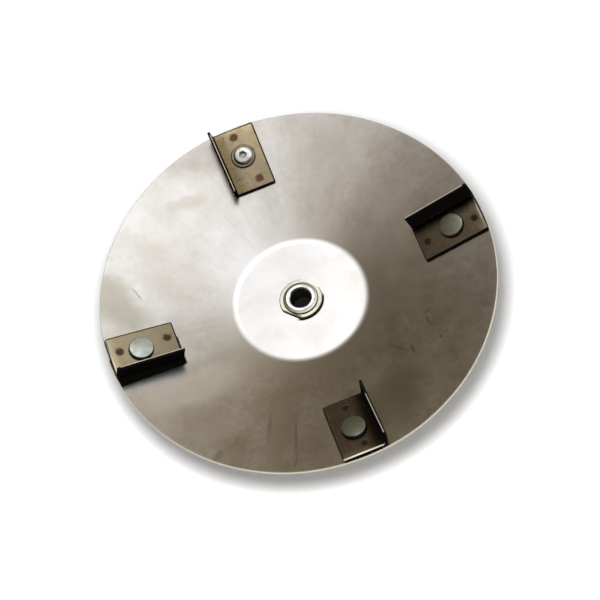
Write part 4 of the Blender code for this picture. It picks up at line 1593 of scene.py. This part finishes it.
cut(screw, piece("socket_mouth", turned(mouth, BOLT_SIDES, ring=False), station))
screw_zinc = screw_plate(
    "zinc_plate_screw",
    station.translation,
    station.to_3x3().col[2],
    flange_top,
    station @ Vector((0, 0, dome_top - SOCKET_DEPTH)),
    SOCKET_FLATS / 2 + SOCKET_MOUTH,
)
dress(screw, screw_zinc, f"button_head_screw_{SCREW_STATION}")

# %% [markdown]
# ## Floor, room and light
#
# Bare steel shows whatever stands round it, so the room matters more than the lamp. In the photograph the
# upper left of the disc and its flat centre are bright, and the right side is dark and warm. A soft box
# almost overhead does the first, and warm walls that dim away from one side do the second. They could be
# real panels, but painted into the world by direction they have soft edges and take no time to render.
# One lamp close above throws the shadow. It is kept out of reflections, so the metal isn't lit twice.
# Away from the shadow, the camera and the metal see the floor as plain white. Under the bore the floor
# carries a painted shadow, dark as on a stand with a hole for the shaft.

# %% Floor
FLOOR_SIZE = 12.0
FLOOR_WHITE = (0.96, 0.96, 0.96)
FLOOR_SHADE = (0.95, 0.95, 0.95)
BORE_SHADOW_BLACK = (0.01, 0.01, 0.01)
# Radii between which the painted shadow under the bore ends, and the floor turns plain white for the camera
BORE_SHADOW = (10.2 * MM, 10.8 * MM)
WHITE_FROM = (0.19, 0.30)


def pale_floor():
    """White floor that turns plain white away from the object, with a painted shadow under the bore."""
    finish, tree, shader = new_finish("pale_floor", metallic=0.0)
    shader.inputs["Roughness"].default_value = 0.9
    shader.inputs["Emission Color"].default_value = (1, 1, 1, 1)
    radius = from_axis(tree)
    uneven = effect(tree, CLOUDS, Size=0.5, Seed=0.2, Low=0.3, High=0.7)
    colour = tint(uneven, FLOOR_WHITE, FLOOR_SHADE)
    # Painted shadow: the floor is black under the bore
    colour = tint(ramp(radius, *BORE_SHADOW, 1.0, 0.0), colour, BORE_SHADOW_BLACK)
    tree.links.new(colour, shader.inputs["Base Color"])
    ray = put(tree, "ShaderNodeLightPath", {}).outputs
    seen = calculate("MAXIMUM", ray["Is Camera Ray"], ray["Is Glossy Ray"])
    white = times(seen, ramp(radius, *WHITE_FROM))
    tree.links.new(white, shader.inputs["Emission Strength"])
    return finish


floor_mesh = bmesh.new()
bmesh.ops.create_grid(floor_mesh, x_segments=1, y_segments=1, size=FLOOR_SIZE / 2)
floor = piece("floor", floor_mesh, Matrix.Translation((0, 0, FLOOR_LEVEL)))
floor.data.materials.append(pale_floor())
print("floor at", FLOOR_LEVEL, "m")

# %% Room: warm walls that dim away from one side, dark behind the camera, white at the horizon
# Colour of dim and of bright walls, and the levels of light between which one turns into the other
DIM_WALL = (1.30, 1.03, 0.66)
BRIGHT_WALL = (1.01, 1.0, 0.98)
WALL_TINTS = (0.15, 0.95)
# Light of the walls: its level, how it slants with direction, its least, and how softly the two meet
WALL_LEVEL = 1.215
WALL_SLANT = (1.033, -1.235, -0.418)
WALL_LEAST = 0.149
WALL_BLEND = 0.5
# What is left of it behind the camera, and where it fades
DARK_LEAST = 0.015
DARK_SIDE = (-0.45, -0.15)
# How far a ray rises where the white horizon turns into the room
HORIZON = (0.02, 0.10)
HORIZON_WHITE = (1, 1, 1)
# Even light that the floor gets from the room, so that the lamp alone shapes its shadow
FLOOR_FILL = (0.50, 0.50, 0.50)
SOFT_BOX_FROM = Vector((0.082, 0.339, 0.937)).normalized()
SOFT_BOX_REACH = math.radians(24.5)
SOFT_BOX_LEVEL = 3.45
SOFT_BOX_TINT = (0.89, 0.944, 1.059)


def paint_room(room):
    """Colour of the room in each direction that a ray can look."""
    look = put(room, "ShaderNodeTexCoord", {}).outputs["Generated"]
    _, ahead, rise = put(room, "ShaderNodeSeparateXYZ", {0: look}).outputs
    slanted = calculate("ADD", vector("DOT_PRODUCT", look, WALL_SLANT), WALL_LEVEL)
    walls = calculate("SMOOTH_MAX", slanted, WALL_LEAST, WALL_BLEND)
    walls = times(walls, ramp(ahead, *DARK_SIDE, DARK_LEAST, 1.0))
    paint = tint(ramp(walls, *WALL_TINTS), DIM_WALL, BRIGHT_WALL)
    off_box = calculate("ARCCOSINE", vector("DOT_PRODUCT", look, SOFT_BOX_FROM))
    glow = ramp(off_box, 0.0, SOFT_BOX_REACH, SOFT_BOX_LEVEL, 0.0)
    light = vector("ADD", scaled(paint, walls), scaled(SOFT_BOX_TINT, glow))
    colour = tint(ramp(rise, *HORIZON), HORIZON_WHITE, light)
    for_floor = put(room, "ShaderNodeLightPath", {}).outputs["Is Diffuse Ray"]
    return tint(for_floor, colour, FLOOR_FILL)


world = bpy.data.worlds.new("studio_room")
world.use_nodes = True
world_tree = world.node_tree
world_tree.links.new(paint_room(world_tree), world_tree.nodes["Background"].inputs["Color"])
bpy.context.scene.world = world
print("room painted with", len(world_tree.nodes), "nodes")

# %% Lamp for the floor
LAMP_AT = Vector((-0.025, -0.135, FLOOR_LEVEL + 0.521))
LAMP_SIZE = 0.296
LAMP_POWER = 3.51

lamp_data = bpy.data.lights.new("floor_light", "AREA")
lamp_data.shape = "DISK"
lamp_data.size = LAMP_SIZE
lamp_data.energy = LAMP_POWER
lamp = bpy.data.objects.new("floor_light", lamp_data)
lamp.location = LAMP_AT
lamp.visible_glossy = False
lamp.visible_camera = False
bpy.context.scene.collection.objects.link(lamp)
print("floor light of", lamp_data.energy, "W at", [round(x, 3) for x in LAMP_AT])
